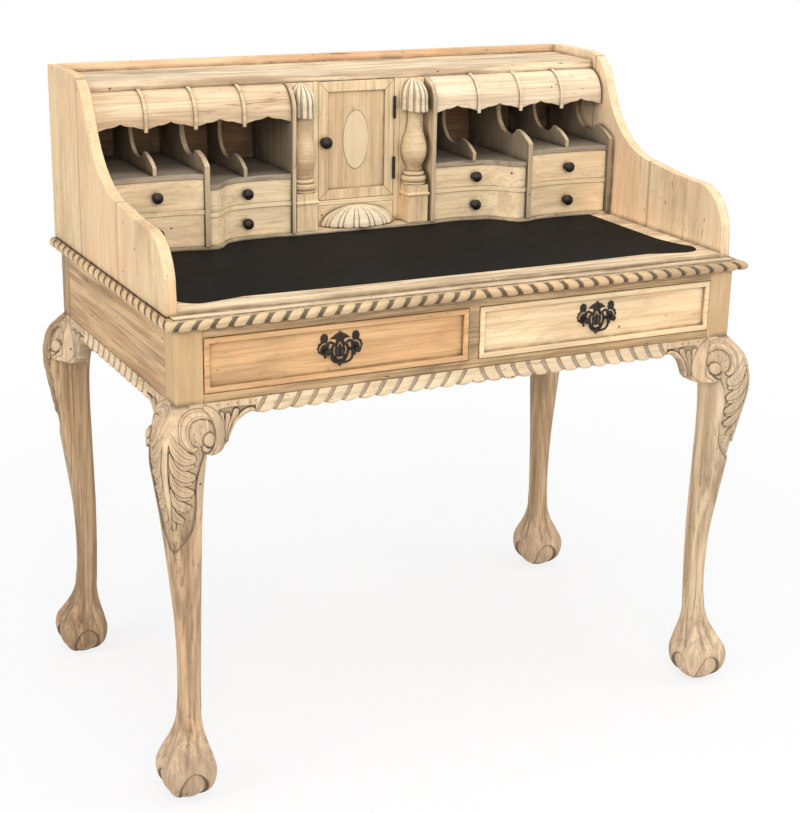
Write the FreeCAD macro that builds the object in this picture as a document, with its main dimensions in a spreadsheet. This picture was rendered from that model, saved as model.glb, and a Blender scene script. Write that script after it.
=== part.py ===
import FreeCAD, Part

import collections
import math
import os

import Sketcher

# A bonheur du jour: a small writing table on cabriole legs with ball-and-claw feet, two frieze
# drawers, a leather-lined writing board, and at the back a low superstructure of serpentine
# drawers, pigeonholes and a little cupboard between two sliding document boxes.
# Frame: X to the sitter's right, Y away from the sitter, Z up. Origin on the floor under the middle.

# ---------------------------------------------------------------- driving sizes, millimetres
SIZES = (
    # the table
    ("writing_height", 770.0, "floor to the writing surface"),
    ("frieze_width", 973.0, "across the corner posts"),
    ("frieze_depth", 565.4, "front to back over the corner posts"),
    ("frieze_height", 111.8, "height of the rails round the drawers"),
    ("post_width", 43.0, "square corner post at the head of a leg"),
    ("top_thickness", 18.0, "main top board"),
    ("writing_board_thickness", 7.5, "loose-lined board laid on the top"),
    ("frieze_thickness", 18.0, "side and back boards of the frieze"),
    ("front_rail_depth", 20.0, "front rails, front to back"),
    ("top_rail_height", 13.5, "rail over the drawers"),
    ("bottom_rail_height", 13.3, "rail under the drawers"),
    ("stile_width", 17.6, "upright between the two drawers"),
    ("back_overhang", 18.0, "top board past the back of the frieze"),
    ("rope_projection", 18.0, "rope moulding, out from the frieze"),
    ("rope_fillet", 3.0, "flat edge above and below the rope"),
    ("apron_height", 26.0, "gadrooned strip under the rails"),
    ("apron_thickness", 15.0, "gadrooned strip, front to back"),
    ("apron_proud", 3.0, "gadrooned strip past the rail face"),
    ("apron_round", 5.0, "hollow of its lower edge"),
    ("ear_length", 80.0, "knee bracket along the rail"),
    ("ear_drop", 74.0, "knee bracket down the leg"),
    ("ear_thickness", 21.0, "knee bracket, front to back"),
    # the cabriole leg, measured out along the corner's diagonal
    ("knee_reach", 30.0, "knee centre out from the post centre"),
    ("knee_half", 36.5, "half width of the knee"),
    ("calf_half", 25.0, "half width a third of the way down"),
    ("ankle_half", 17.3, "half width of the ankle"),
    ("ankle_reach", 5.0, "ankle centre out from the post centre"),
    ("foot_reach", 22.0, "ball centre out from the post centre"),
    ("ball_radius", 40.0, "ball under the claw"),
    ("ball_flat", 2.0, "slice taken off under the ball"),
    ("toe_reach", 38.0, "claw centre line out from the ball centre"),
    ("toe_radius", 11.0, "claw at its knuckle"),
    ("claw_height", 118.0, "floor to where the claw leaves the ankle"),
    # the frieze drawers
    ("front_gap", 1.0, "gap round a frieze drawer front"),
    ("panel_recess", 4.0, "drawer panel behind the rail face"),
    ("drawer_front_thickness", 17.0, "frieze drawer front"),
    ("bead_width", 9.0, "half-round bead round the front"),
    ("bead_proud", 2.6, "bead in front of the rail face"),
    ("bead_round", 2.8, "rounding of the bead"),
    ("drawer_side_thickness", 10.0, "frieze drawer sides and back"),
    ("drawer_side_height", 72.0, "frieze drawer sides"),
    ("drawer_bottom_thickness", 6.0, "frieze drawer bottom"),
    ("drawer_length", 420.0, "frieze drawer sides, front to back"),
    ("runner_width", 26.0, "runner that carries a drawer side"),
    ("runner_gap", 0.3, "running clearance over a runner"),
    ("guide_gap", 1.0, "clearance between a drawer side and its guide"),
    # the bail handles
    ("handle_half_width", 37.0, "back plate, centre to tip"),
    ("handle_rise", 29.0, "back plate above the post centres"),
    ("handle_fall", 26.0, "back plate below the post centres"),
    ("plate_thickness", 1.6, "cast back plate"),
    ("post_spacing", 49.2, "between the two handle posts"),
    ("handle_post_radius", 4.4, "handle post"),
    ("handle_post_length", 11.0, "handle post, out from the plate"),
    ("bail_radius", 1.8, "rod of the bail"),
    ("bail_bore_gap", 0.05, "radial clearance of the bail in its posts"),
    ("bail_drop", 18.5, "bail below its pivot"),
    ("bail_shoulder", 17.0, "half width across the bail's uprights"),
    ("bail_corner", 3.0, "bend at the head of the bail"),
    # the superstructure
    ("side_height", 287.5, "side panel above the main top"),
    ("side_thickness", 17.0, "side panel"),
    ("side_inset", 12.1, "inner face of a side panel in from the frieze face"),
    ("back_thickness", 11.0, "back panel and gallery"),
    ("shelf_top_drop", 13.7, "top shelf below the gallery's edge"),
    ("shelf_thickness", 14.7, "top shelf"),
    ("shelf_front", 156.0, "front edge of the top shelf, from the middle"),
    ("side_front", 264.0, "front end of a side panel, from the middle"),
    ("ledge_thickness", 5.0, "base board under the small drawers"),
    ("ledge_lip", 4.0, "base board past the drawer fronts"),
    ("cheek_thickness", 10.4, "end board against a side panel"),
    ("divider_x", 301.2, "middle of the tall divider, from the middle"),
    ("divider_thickness", 8.5, "tall divider between the bays"),
    ("small_divider_thickness", 6.5, "pigeonhole divider"),
    ("screen_x", 131.8, "middle of the outer screen beside a document box"),
    ("screen_thickness", 6.5, "outer screen"),
    ("jamb_inner", 71.5, "inner face of a door jamb, from the middle"),
    ("jamb_thickness", 10.0, "door jamb"),
    ("jamb_front", 149.0, "front of the jambs, door and slide boards"),
    ("screen_front", 111.0, "front of the outer screens"),
    ("divider_front", 70.0, "front of the tall dividers and cheeks"),
    ("outer_drawer_low", 53.5, "height of the lower outer drawer opening"),
    ("outer_drawer_high", 50.0, "height of the upper outer drawer opening"),
    ("inner_drawer_low", 47.5, "height of the lower inner drawer opening"),
    ("inner_drawer_high", 37.5, "height of the upper inner drawer opening"),
    ("blade_thickness", 7.5, "board between two small drawers"),
    ("nook_shelf_thickness", 8.5, "pigeonhole shelf"),
    ("blade_lip", 1.5, "shelf and blade edge past the drawer fronts"),
    ("wave_outer_step", 76.0, "outer front beside the tall divider"),
    ("wave_outer_deep", 85.0, "outer front at its deepest"),
    ("wave_outer_end", 78.0, "outer front beside the cheek"),
    ("wave_inner_step", 75.5, "inner front beside the tall divider"),
    ("wave_inner_deep", 122.5, "inner front at its deepest"),
    ("wave_inner_end", 118.0, "inner front beside the screen"),
    ("step_flat", 14.0, "flat of the inner front beside the tall divider"),
    ("step_run", 22.0, "lower half of the S-step across the front"),
    ("small_front_thickness", 12.0, "small drawer front"),
    ("small_board", 6.0, "small drawer sides, back and bottom"),
    ("small_gap", 0.6, "gap round a small drawer"),
    ("small_drawer_back", 262.0, "back end of the small drawers, from the middle"),
    ("scroll_depth", 118.0, "scrolled edge of a pigeonhole divider, front to back"),
    ("scroll_nose", 13.0, "upright nose of a scrolled edge"),
    ("scroll_peak", 32.0, "peak of a scrolled edge"),
    ("scroll_dip", 19.5, "dip of a scrolled edge"),
    ("scroll_top", 55.0, "where the scrolled edge turns upright"),
    ("canopy_front", 116.0, "front face of the canopy, from the middle"),
    ("canopy_height", 62.0, "canopy from the shelf to the tip of its ribs"),
    ("canopy_curve", 44.0, "radius of the canopy's rounded part"),
    ("canopy_thickness", 7.0, "canopy board"),
    ("canopy_cusp", 15.0, "cusp above the tip of the ribs"),
    ("canopy_edge", 4.0, "scalloped edge above the tip of the ribs"),
    ("canopy_end_gap", 3.0, "gap between canopy and side panel"),
    ("rib_width", 5.5, "rib of the canopy"),
    ("rib_proud", 3.2, "rib past the canopy's face"),
    ("leather_thickness", 1.0, "leather skin"),
    ("leather_recess", 1.2, "recess for the leather"),
    ("leather_half_width", 437.0, "leather, middle to its straight side"),
    ("leather_front", 229.0, "leather front edge, from the middle"),
    ("leather_under_ledge", 5.0, "leather, back from the ledge's front edge"),
    ("leather_corner_out", 20.0, "leather corner past the straight side"),
    ("leather_corner_forward", 9.0, "leather corner past the front edge"),
    # the middle: cupboard, shell drawer and document boxes
    ("shell_height", 35.5, "height of the shell drawer opening"),
    ("shell_bow", 38.5, "shell, out from the jamb face"),
    ("shell_margin", 1.5, "flat margin round the shell"),
    ("cupboard_floor_thickness", 8.5, "board under the cupboard"),
    ("door_thickness", 14.0, "door frame"),
    ("door_gap", 0.9, "gap round the door"),
    ("door_stile_width", 17.0, "door frame member"),
    ("door_panel_thickness", 6.0, "door panel"),
    ("door_panel_recess", 4.0, "door panel behind the frame"),
    ("oval_half_width", 24.0, "oval inlay of the door panel"),
    ("oval_half_height", 51.0, "oval inlay of the door panel"),
    ("oval_proud", 0.4, "oval inlay in front of the panel"),
    ("hinge_length", 38.0, "door hinge"),
    ("hinge_radius", 2.2, "hinge knuckle"),
    ("hinge_pin_radius", 0.9, "hinge pin"),
    ("hinge_bore_gap", 0.05, "radial clearance of the hinge pin"),
    ("hinge_leaf", 0.8, "hinge leaf thickness"),
    ("hinge_leaf_width", 11.0, "hinge leaf, front to back"),
    ("hinge_knuckle_gap", 0.4, "gap between two knuckles"),
    ("hinge_from_end", 48.0, "hinge middle from the end of the door"),
    ("slide_gap", 0.6, "gap at the sides of a document box"),
    ("slide_board", 5.0, "document box sides"),
    ("slide_front_thickness", 8.0, "document box front"),
    ("slide_back", 250.0, "back end of the document boxes, from the middle"),
    ("column_depth", 12.0, "column centre in front of the slide board"),
    ("plinth_width", 38.0, "pilaster plinth"),
    ("plinth_height", 45.5, "pilaster plinth"),
    ("plinth_depth", 32.0, "pilaster plinth, out from the slide board"),
    ("cap_height", 19.0, "moulded cap on the plinth"),
    ("cap_overhang", 2.6, "moulded cap past the plinth"),
    ("belly_radius", 22.6, "baluster at its widest"),
    ("neck_radius", 11.8, "baluster at its upper neck"),
    ("waist_radius", 14.2, "baluster under the belly"),
    ("capital_height", 54.0, "shell hood over the baluster"),
    ("capital_reach", 46.0, "shell hood, out from the slide board"),
    ("capital_half_width", 22.4, "shell hood"),
    # the knobs
    ("knob_radius", 9.2, "small drawer knob"),
    ("knob_stem_radius", 4.0, "stem of a knob"),
    ("knob_stem_length", 7.0, "stem of a knob"),
    ("knob_head_length", 12.0, "head of a knob"),
    ("door_knob_scale", 1.12, "door knob against a drawer knob"),
)

# share of a distance within which two places count as the same
HAIR = 1e-6

# ---------------------------------------------------------------- sizes that stay tied to the sheet


class Size:
    """A length that carries its number and the sheet expression that gives it."""

    def __init__(self, number, text):
        self.number = number
        self.text = text

    def __add__(self, other):
        other = size(other)
        return Size(self.number + other.number, f"({self.text} + {other.text})")

    def __sub__(self, other):
        other = size(other)
        return Size(self.number - other.number, f"({self.text} - {other.text})")

    def __mul__(self, other):
        other = size(other)
        return Size(self.number * other.number, f"({self.text} * {other.text})")

    def __truediv__(self, other):
        other = size(other)
        return Size(self.number / other.number, f"({self.text} / {other.text})")

    def __neg__(self):
        return Size(-self.number, f"(0 - {self.text})")

    def __radd__(self, other):
        return size(other) + self

    def __rsub__(self, other):
        return size(other) - self

    def __rmul__(self, other):
        return size(other) * self


def size(value):
    """A plain number as a Size; a Size stays as it is."""
    if isinstance(value, Size):
        return value
    return Size(float(value), f"({value:.6f})")


def between(low, high, share=0.5):
    """The place at a share of the way from low to high."""
    return low + (high - low) * share


doc = FreeCAD.newDocument("BonheurDuJour")
sheet = doc.addObject("Spreadsheet::Sheet", "Sizes")
for row, (alias, value, note) in enumerate(SIZES, start=1):
    sheet.set(f"A{row}", alias)
    sheet.set(f"B{row}", str(value))
    sheet.setAlias(f"B{row}", alias)
    sheet.set(f"C{row}", note)
doc.recompute()


class Sheet:
    """Attribute access to the sheet: s.writing_height is that cell as a Size."""

    def __getattr__(self, alias):
        return Size(float(sheet.get(alias)), f"Sizes.{alias}")


s = Sheet()
nodes = []

# ---------------------------------------------------------------- drawing tools

Point = collections.namedtuple("Point", "x y bend")
Edge = collections.namedtuple("Edge", "index start end")


def corner(x, y):
    """A corner of an outline."""
    return Point(size(x), size(y), False)


def bend(x, y):
    """A point that the arc between its two neighbouring corners passes through."""
    return Point(size(x), size(y), True)


def mirrored(points):
    """The same points on the other side of the vertical axis, in the opposite order."""
    return [Point(-p.x, p.y, p.bend) for p in reversed(points)]


def shifted(points, along=0, up=0):
    """The same points moved."""
    return [Point(p.x + along, p.y + up, p.bend) for p in points]


def node(label, thing):
    """Name an object and list it as one of the pieces that are written out."""
    thing.Label = label
    nodes.append(thing)
    return thing


def add(kind, name):
    return doc.addObject(kind, name)


def tie(ties, sketch, index, position, point):
    """Hold one sketch point at its two sizes, measured from the sketch's origin."""
    for kind, value in (("DistanceX", point.x), ("DistanceY", point.y)):
        constraint = Sketcher.Constraint(kind, -1, 1, index, position, value.number)
        ties.append((constraint, value))


def draw_edge(sketch, ties, first, through, last):
    """Draw a line, or an arc through a third point; arcs always run counter-clockwise."""
    a, b = (FreeCAD.Vector(p.x.number, p.y.number, 0) for p in (first, last))
    if through is None:
        edge = Edge(sketch.addGeometry(Part.LineSegment(a, b), False), 1, 2)
    else:
        m = FreeCAD.Vector(through.x.number, through.y.number, 0)
        left_turn = (m - a).cross(b - m).z > 0
        ends = (a, b) if left_turn else (b, a)
        index = sketch.addGeometry(Part.Arc(ends[0], m, ends[1]), False)
        edge = Edge(index, 1, 2) if left_turn else Edge(index, 2, 1)
        marker = sketch.addGeometry(Part.Point(m), True)
        tie(ties, sketch, marker, 1, through)
        ties.append((Sketcher.Constraint("PointOnObject", marker, 1, index), None))
    tie(ties, sketch, edge.index, edge.start, first)
    return edge


def draw(sketch, outline, closed=True):
    """Draw an outline whose every point is tied to its own sizes."""
    ties = []
    edges = []
    previous, through = outline[0], None
    for point in outline[1:] + (outline[:1] if closed else []):
        if point.bend:
            through = point
        else:
            edges.append(draw_edge(sketch, ties, previous, through, point))
            previous, through = point, None
    followers = edges[1:] + (edges[:1] if closed else [])
    for edge, following in zip(edges, followers):
        joint = Sketcher.Constraint("Coincident", edge.index, edge.end, following.index, following.start)
        ties.append((joint, None))
    if not closed:
        tie(ties, sketch, edges[-1].index, edges[-1].end, outline[-1])
    numbers = sketch.addConstraint([constraint for constraint, value in ties])
    for number, (constraint, value) in zip(numbers, ties):
        if value is not None:
            sketch.setExpression(f"Constraints[{number}]", value.text)


def draw_circle(sketch, x, y, radius):
    """A circle tied to its centre and radius."""
    x, y, radius = size(x), size(y), size(radius)
    centre = FreeCAD.Vector(x.number, y.number, 0)
    index = sketch.addGeometry(Part.Circle(centre, FreeCAD.Vector(0, 0, 1), radius.number), False)
    ties = []
    tie(ties, sketch, index, 3, Point(x, y, False))
    ties.append((Sketcher.Constraint("Radius", index, radius.number), radius))
    numbers = sketch.addConstraint([constraint for constraint, value in ties])
    for number, (constraint, value) in zip(numbers, ties):
        sketch.setExpression(f"Constraints[{number}]", value.text)


def new_body(name):
    return add("PartDesign::Body", name)


def new_sketch(body, role, offset=0):
    """A sketch on one of the body's own origin planes, moved along that plane's normal."""
    plane = [feature for feature in body.Origin.OriginFeatures if feature.Role == role][0]
    sketch = body.newObject("Sketcher::SketchObject", body.Name + "Sketch")
    sketch.AttachmentSupport = [(plane, "")]
    sketch.MapMode = "FlatFace"
    sketch.setExpression("AttachmentOffset.Base.z", size(offset).text)
    return sketch


def pad(body, sketch, length):
    feature = body.newObject("PartDesign::Pad", body.Name + "Pad")
    feature.Profile = sketch
    feature.setExpression("Length", size(length).text)
    return feature


def pocket_through(body, sketch):
    """Cut the sketch right through the body, both ways from its plane."""
    feature = body.newObject("PartDesign::Pocket", body.Name + "Pocket")
    feature.Profile = sketch
    feature.Type = 1
    feature.SideType = "Symmetric"
    return feature


def slab_flat(name, outlines, low, high):
    """Outlines seen from above, between two heights."""
    body = new_body(name)
    sketch = new_sketch(body, "XY_Plane", low)
    for outline in outlines:
        draw(sketch, outline)
    pad(body, sketch, size(high) - low)
    return body


def slab_front(name, outlines, front, back):
    """Outlines seen from the front, between two depths."""
    body = new_body(name)
    sketch = new_sketch(body, "XZ_Plane", -size(back))
    for outline in outlines:
        draw(sketch, outline)
    pad(body, sketch, size(back) - front)
    return body


def slab_side(name, outlines, left, right):
    """Outlines seen from the right-hand end, x of the sketch being depth, between two widths."""
    body = new_body(name)
    sketch = new_sketch(body, "YZ_Plane", left)
    for outline in outlines:
        draw(sketch, outline)
    pad(body, sketch, size(right) - left)
    return body


def board(name, x, y, z):
    """A plain board between two places along each axis."""
    box = add("Part::Box", name)
    spans = ((x, "x", "Length"), (y, "y", "Width"), (z, "z", "Height"))
    for (low, high), axis, extent in spans:
        low, high = size(low), size(high)
        box.setExpression(f"Placement.Base.{axis}", low.text)
        box.setExpression(extent, (high - low).text)
    return box


def rectangle(x, y):
    return [corner(x[0], y[0]), corner(x[1], y[0]), corner(x[1], y[1]), corner(x[0], y[1])]


def opposite(name, source, normal=(1, 0, 0)):
    """The mirror image of a piece across a plane through the origin."""
    image = add("Part::Mirroring", name)
    image.Source = source
    image.Normal = FreeCAD.Vector(*normal)
    return image


def group(name, pieces):
    """Several separate solids that make one named piece."""
    compound = add("Part::Compound", name)
    compound.Links = pieces
    return compound


def combine(kind, name, base, tool):
    """A boolean of two objects: Part::Cut, Part::Common or Part::Fuse."""
    result = add(kind, name)
    result.Base = base
    result.Tool = tool
    return result


def pair(name, piece):
    """A right-hand piece and its left-hand mirror image, as two nodes."""
    right = node(f"{name}_right", piece)
    left = node(f"{name}_left", opposite(f"{name}_left", piece))
    return right, left


# ---------------------------------------------------------------- shared places

half_width = s.frieze_width / 2
half_depth = s.frieze_depth / 2
top_low = s.writing_height - s.writing_board_thickness - s.top_thickness
top_high = top_low + s.top_thickness
frieze_low = top_low - s.frieze_height
post_inner = half_width - s.post_width
post_inner_y = half_depth - s.post_width
post_centre = half_width - s.post_width / 2
post_centre_y = half_depth - s.post_width / 2
top_back = half_depth + s.back_overhang
panel_inner = half_width - s.side_inset
back_front = top_back - s.back_thickness
gallery_high = top_high + s.side_height
shelf_high = gallery_high - s.shelf_top_drop
shelf_low = shelf_high - s.shelf_thickness
ledge_high = s.writing_height + s.ledge_thickness
cheek_inner = panel_inner - s.cheek_thickness
divider_outer = s.divider_x + s.divider_thickness / 2
divider_inner = s.divider_x - s.divider_thickness / 2
screen_outer = s.screen_x + s.screen_thickness / 2
screen_inner = s.screen_x - s.screen_thickness / 2
jamb_outer = s.jamb_inner + s.jamb_thickness
opening_low = frieze_low + s.bottom_rail_height
opening_high = top_low - s.top_rail_height


# ---------------------------------------------------------------- the cabriole legs

def rounded_square(x, y, half, rounding):
    """A square of the given half width with rounded corners, as an outline round (x, y)."""
    straight = half - rounding
    on_arc = straight + rounding * 0.70711
    points = []
    quarters = ((1, 1), (-1, 1), (-1, -1), (1, -1))
    for turn, (sx, sy) in enumerate(quarters):
        arc = [(half, straight), (on_arc, on_arc), (straight, half)]
        if turn % 2:
            arc.reverse()
        for step, (along, up) in enumerate(arc):
            kind = bend if step == 1 else corner
            points.append(kind(x + along * sx, y + up * sy))
    return points


def leg_stations():
    """Heights and sections down the leg: height, reach along the diagonal, half width, rounding share."""
    post_half = s.post_width / 2
    ankle_high = frieze_low * 0.40
    ankle_low = frieze_low * 0.26
    knee_drop = s.knee_half
    return (
        (frieze_low, size(0), post_half, 0.12),
        (frieze_low - knee_drop * 0.33, s.knee_reach * 0.22, between(post_half, s.knee_half, 0.44), 0.25),
        (frieze_low - knee_drop * 0.8, s.knee_reach * 0.56, between(post_half, s.knee_half, 0.87), 0.34),
        (frieze_low - knee_drop * 1.45, s.knee_reach * 0.83, s.knee_half, 0.40),
        (frieze_low - knee_drop * 2.35, s.knee_reach, s.knee_half * 0.965, 0.40),
        (frieze_low - knee_drop * 3.35, s.knee_reach * 0.93, between(s.calf_half, s.knee_half, 0.58), 0.42),
        (frieze_low - knee_drop * 4.6, s.knee_reach * 0.76, between(s.calf_half, s.knee_half, 0.27), 0.50),
        (frieze_low - knee_drop * 6.0, s.knee_reach * 0.58, s.calf_half, 0.55),
        (between(ankle_high, frieze_low, 0.24), s.knee_reach * 0.37,
         between(s.ankle_half, s.calf_half, 0.52), 0.60),
        (between(ankle_high, frieze_low, 0.08), s.ankle_reach * 1.25,
         between(s.ankle_half, s.calf_half, 0.18), 0.70),
        (ankle_high - knee_drop, s.ankle_reach, s.ankle_half, 0.80),
        (ankle_low, s.ankle_reach * 1.3, s.ankle_half, 0.85),
        (s.claw_height + s.toe_radius, between(s.ankle_reach, s.foot_reach, 0.27), s.ankle_half * 1.1, 0.80),
        (s.claw_height * 0.86, between(s.ankle_reach, s.foot_reach, 0.5), s.ankle_half * 1.35, 0.75),
        (s.ball_radius * 1.95, between(s.ankle_reach, s.foot_reach, 0.78), s.ball_radius * 0.72, 0.70),
        (s.ball_radius * 1.42, s.foot_reach, s.ball_radius * 0.80, 0.72),
    )


def loft(body, sections):
    feature = body.newObject("PartDesign::AdditiveLoft", body.Name + "Loft")
    feature.Profile = sections[0]
    feature.Sections = sections[1:]
    return feature


def add_claws(body, foot_x, foot_y):
    """Four claws down the ball, one on each diagonal; each is a loft through level circles."""
    claw = (
        (s.claw_height, 0.20, 0.70),
        (s.claw_height * 0.78, 0.55, 0.98),
        (s.claw_height * 0.58, 0.86, 1.10),
        (s.claw_height * 0.40, 0.97, 0.98),
        (s.claw_height * 0.24, 0.97, 0.80),
        (s.claw_height * 0.12, 0.84, 0.45),
    )
    for sx in (1, -1):
        for sy in (1, -1):
            rings = []
            for height, reach, thickness in claw:
                ring = new_sketch(body, "XY_Plane", height)
                out = s.toe_reach * (reach * 0.70711)
                draw_circle(ring, foot_x + out * sx, foot_y + out * sy, s.toe_radius * thickness)
                rings.append(ring)
            loft(body, rings)


def add_ball(body, foot_x, foot_y):
    """The ball, with the small flat that it stands on."""
    ball = body.newObject("PartDesign::AdditiveSphere", body.Name + "Ball")
    ball.setExpression("Radius", s.ball_radius.text)
    flat = (s.ball_radius - s.ball_flat) / s.ball_radius
    ball.setExpression("Angle1", f"-asin({flat.text})")
    ball.AttachmentOffset = FreeCAD.Placement()
    for axis, place in (("x", foot_x), ("y", foot_y), ("z", s.ball_radius - s.ball_flat)):
        ball.setExpression(f"Placement.Base.{axis}", place.text)


def make_leg():
    """The front right leg, post and all; the other three are its mirror images."""
    body = new_body("leg_front_right")
    sections = []
    for height, reach, half, rounding in leg_stations():
        sketch = new_sketch(body, "XY_Plane", height)
        out = reach * 0.70711
        draw(sketch, rounded_square(post_centre + out, -post_centre_y - out, half, half * rounding))
        sections.append(sketch)
    loft(body, sections)
    post = new_sketch(body, "XY_Plane", frieze_low)
    draw(post, rectangle((post_inner, half_width), (-half_depth, -post_inner_y)))
    pad(body, post, s.frieze_height)
    foot_out = s.foot_reach * 0.70711
    add_ball(body, post_centre + foot_out, -post_centre_y - foot_out)
    add_claws(body, post_centre + foot_out, -post_centre_y - foot_out)
    return body


def make_legs():
    front_right = node("leg_front_right", make_leg())
    front_left = node("leg_front_left", opposite("leg_front_left", front_right))
    for name, source in (("leg_back_right", front_right), ("leg_back_left", front_left)):
        node(name, opposite(name, source, (0, 1, 0)))
    return front_right


def ear_outline(start):
    """Knee bracket from the rail down to the knee; start is the post's inner face."""
    tip = start - s.ear_length
    inside = start + s.post_width * 0.3
    low = frieze_low - s.ear_drop
    return [
        corner(inside, frieze_low), corner(tip, frieze_low), corner(tip, frieze_low - s.apron_height * 0.75),
        bend(tip + s.ear_length * 0.27, frieze_low - s.apron_height * 0.88),
        corner(tip + s.ear_length * 0.48, frieze_low - s.apron_height * 1.5),
        bend(tip + s.ear_length * 0.57, frieze_low - s.ear_drop * 0.82),
        corner(tip + s.ear_length * 0.74, low),
        bend(tip + s.ear_length * 0.9, low + s.ear_drop * 0.03),
        corner(inside, low + s.ear_drop * 0.22),
    ]


def make_knee_brackets(leg):
    """Eight carved brackets, two at each knee, scribed to the leg behind them."""
    front = slab_front("EarFront", [ear_outline(post_inner)],
                       -half_depth - s.apron_proud, s.ear_thickness - half_depth - s.apron_proud)
    side = slab_side("EarSide", [mirrored(ear_outline(post_inner_y))],
                     half_width + s.apron_proud - s.ear_thickness, half_width + s.apron_proud)
    fitted = [combine("Part::Cut", f"{ear.Name}Scribed", ear, leg) for ear in (front, side)]
    fitted += [opposite(f"{ear.Name}Left", ear) for ear in fitted]
    fitted += [opposite(f"{ear.Name}Back", ear, (0, 1, 0)) for ear in fitted]
    node("knee_brackets", group("knee_brackets", fitted))


# ---------------------------------------------------------------- the frieze

def make_frieze():
    """Front rails and stile, side and back boards, all between the posts."""
    rail_y = (-half_depth, s.front_rail_depth - half_depth)
    rails = [
        board("TopRail", (-post_inner, post_inner), rail_y, (opening_high, top_low)),
        board("BottomRail", (-post_inner, post_inner), rail_y, (frieze_low, opening_low)),
        board("Stile", (-s.stile_width / 2, s.stile_width / 2), rail_y, (opening_low, opening_high)),
    ]
    node("front_frame", group("front_frame", rails))
    inner = half_width - s.frieze_thickness
    side = board("SideFrieze", (inner, half_width), (-post_inner_y, post_inner_y), (frieze_low, top_low))
    back_y = (half_depth - s.frieze_thickness, half_depth)
    back = board("BackFrieze", (-post_inner, post_inner), back_y, (frieze_low, top_low))
    node("frieze_boards", group("frieze_boards", [side, opposite("SideFriezeLeft", side), back]))


drawer_low = opening_low + s.front_gap
drawer_high = opening_high - s.front_gap
drawer_left = s.stile_width / 2 + s.front_gap
drawer_right = post_inner - s.front_gap
panel_front = s.panel_recess - half_depth
drawer_box_front = panel_front + s.drawer_front_thickness
side_left = (drawer_left, drawer_left + s.drawer_side_thickness)
side_right = (drawer_right - s.drawer_side_thickness, drawer_right)


def make_runners():
    """Runners under the drawer sides and guides beside them, front rail to back board."""
    y = (s.front_rail_depth - half_depth, half_depth - s.frieze_thickness)
    runner_z = (frieze_low, drawer_low - s.runner_gap)
    guide_z = (runner_z[1], opening_high)
    guide_outer = (drawer_right + s.guide_gap, half_width - s.frieze_thickness)
    guide_y = (y[0] + (s.post_width - s.front_rail_depth), half_depth - s.post_width)
    middle = drawer_left + s.runner_width
    pieces = [
        board("RunnerMiddle", (-middle, middle), y, runner_z),
        board("GuideMiddle", (s.guide_gap - drawer_left, drawer_left - s.guide_gap), y, guide_z),
    ]
    runner = board("RunnerSide", (drawer_right - s.runner_width, guide_outer[0]), y, runner_z)
    guide = board("GuideSide", guide_outer, guide_y, (frieze_low, opening_high))
    for piece in (runner, guide):
        pieces += [piece, opposite(f"{piece.Name}Left", piece)]
    node("drawer_runners", group("drawer_runners", pieces))


def make_apron():
    """Gadrooned strips under the front and side rails, between the knee brackets."""
    ear_x = post_inner - s.ear_length
    ear_y = post_inner_y - s.ear_length
    low = frieze_low - s.apron_height

    def profile(face):
        front = face - s.apron_proud
        back = front + s.apron_thickness
        return [
            corner(back, frieze_low), corner(front, frieze_low), corner(front, low + s.apron_round),
            bend(front + s.apron_round * 0.3, low + s.apron_round * 0.3), corner(front + s.apron_round, low),
            corner(back, low),
        ]

    front = slab_side("ApronFront", [profile(-half_depth)], -ear_x, ear_x)
    side = slab_front("ApronSide", [mirrored(profile(-half_width))], -ear_y, ear_y)
    strips = [front, side, opposite("ApronSideLeft", side)]
    node("apron_gadroon", group("apron_gadroon", strips))


# ---------------------------------------------------------------- top, mouldings and writing board

def rope_profile(face):
    """Section of the rope moulding, face being the frieze line that it stands out from."""
    front = face - s.rope_projection
    middle = between(top_low, top_high)
    return [
        corner(face, top_high), corner(front + s.rope_projection * 0.45, top_high),
        corner(front + s.rope_projection * 0.3, top_high - s.rope_fillet * 0.5),
        bend(front, middle), corner(front + s.rope_projection * 0.3, top_low + s.rope_fillet * 0.5),
        corner(front + s.rope_projection * 0.45, top_low), corner(face, top_low),
    ]


def make_rope():
    """Half-round moulding along the front and sides, mitred at the front corners."""
    out = s.rope_projection
    front = slab_side("RopeFrontBlank", [rope_profile(-half_depth)], -half_width - out, half_width + out)
    side = slab_front("RopeSideBlank", [mirrored(rope_profile(-half_width))], -half_depth - out, top_back)
    mitre = [corner(half_width, -half_depth), corner(-half_width, -half_depth),
             corner(-half_width - out, -half_depth - out), corner(half_width + out, -half_depth - out)]
    front_plan = slab_flat("RopeFrontPlan", [mitre], top_low, top_high)
    side_mitre = [corner(half_width, -half_depth), corner(half_width + out, -half_depth - out),
                  corner(half_width + out, top_back), corner(half_width, top_back)]
    side_plan = slab_flat("RopeSidePlan", [side_mitre], top_low, top_high)
    front_strip = combine("Part::Common", "RopeFront", front, front_plan)
    side_strip = combine("Part::Common", "RopeSide", side, side_plan)
    strips = [front_strip, side_strip, opposite("RopeSideLeft", side_strip)]
    node("rope_moulding", group("rope_moulding", strips))


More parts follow.
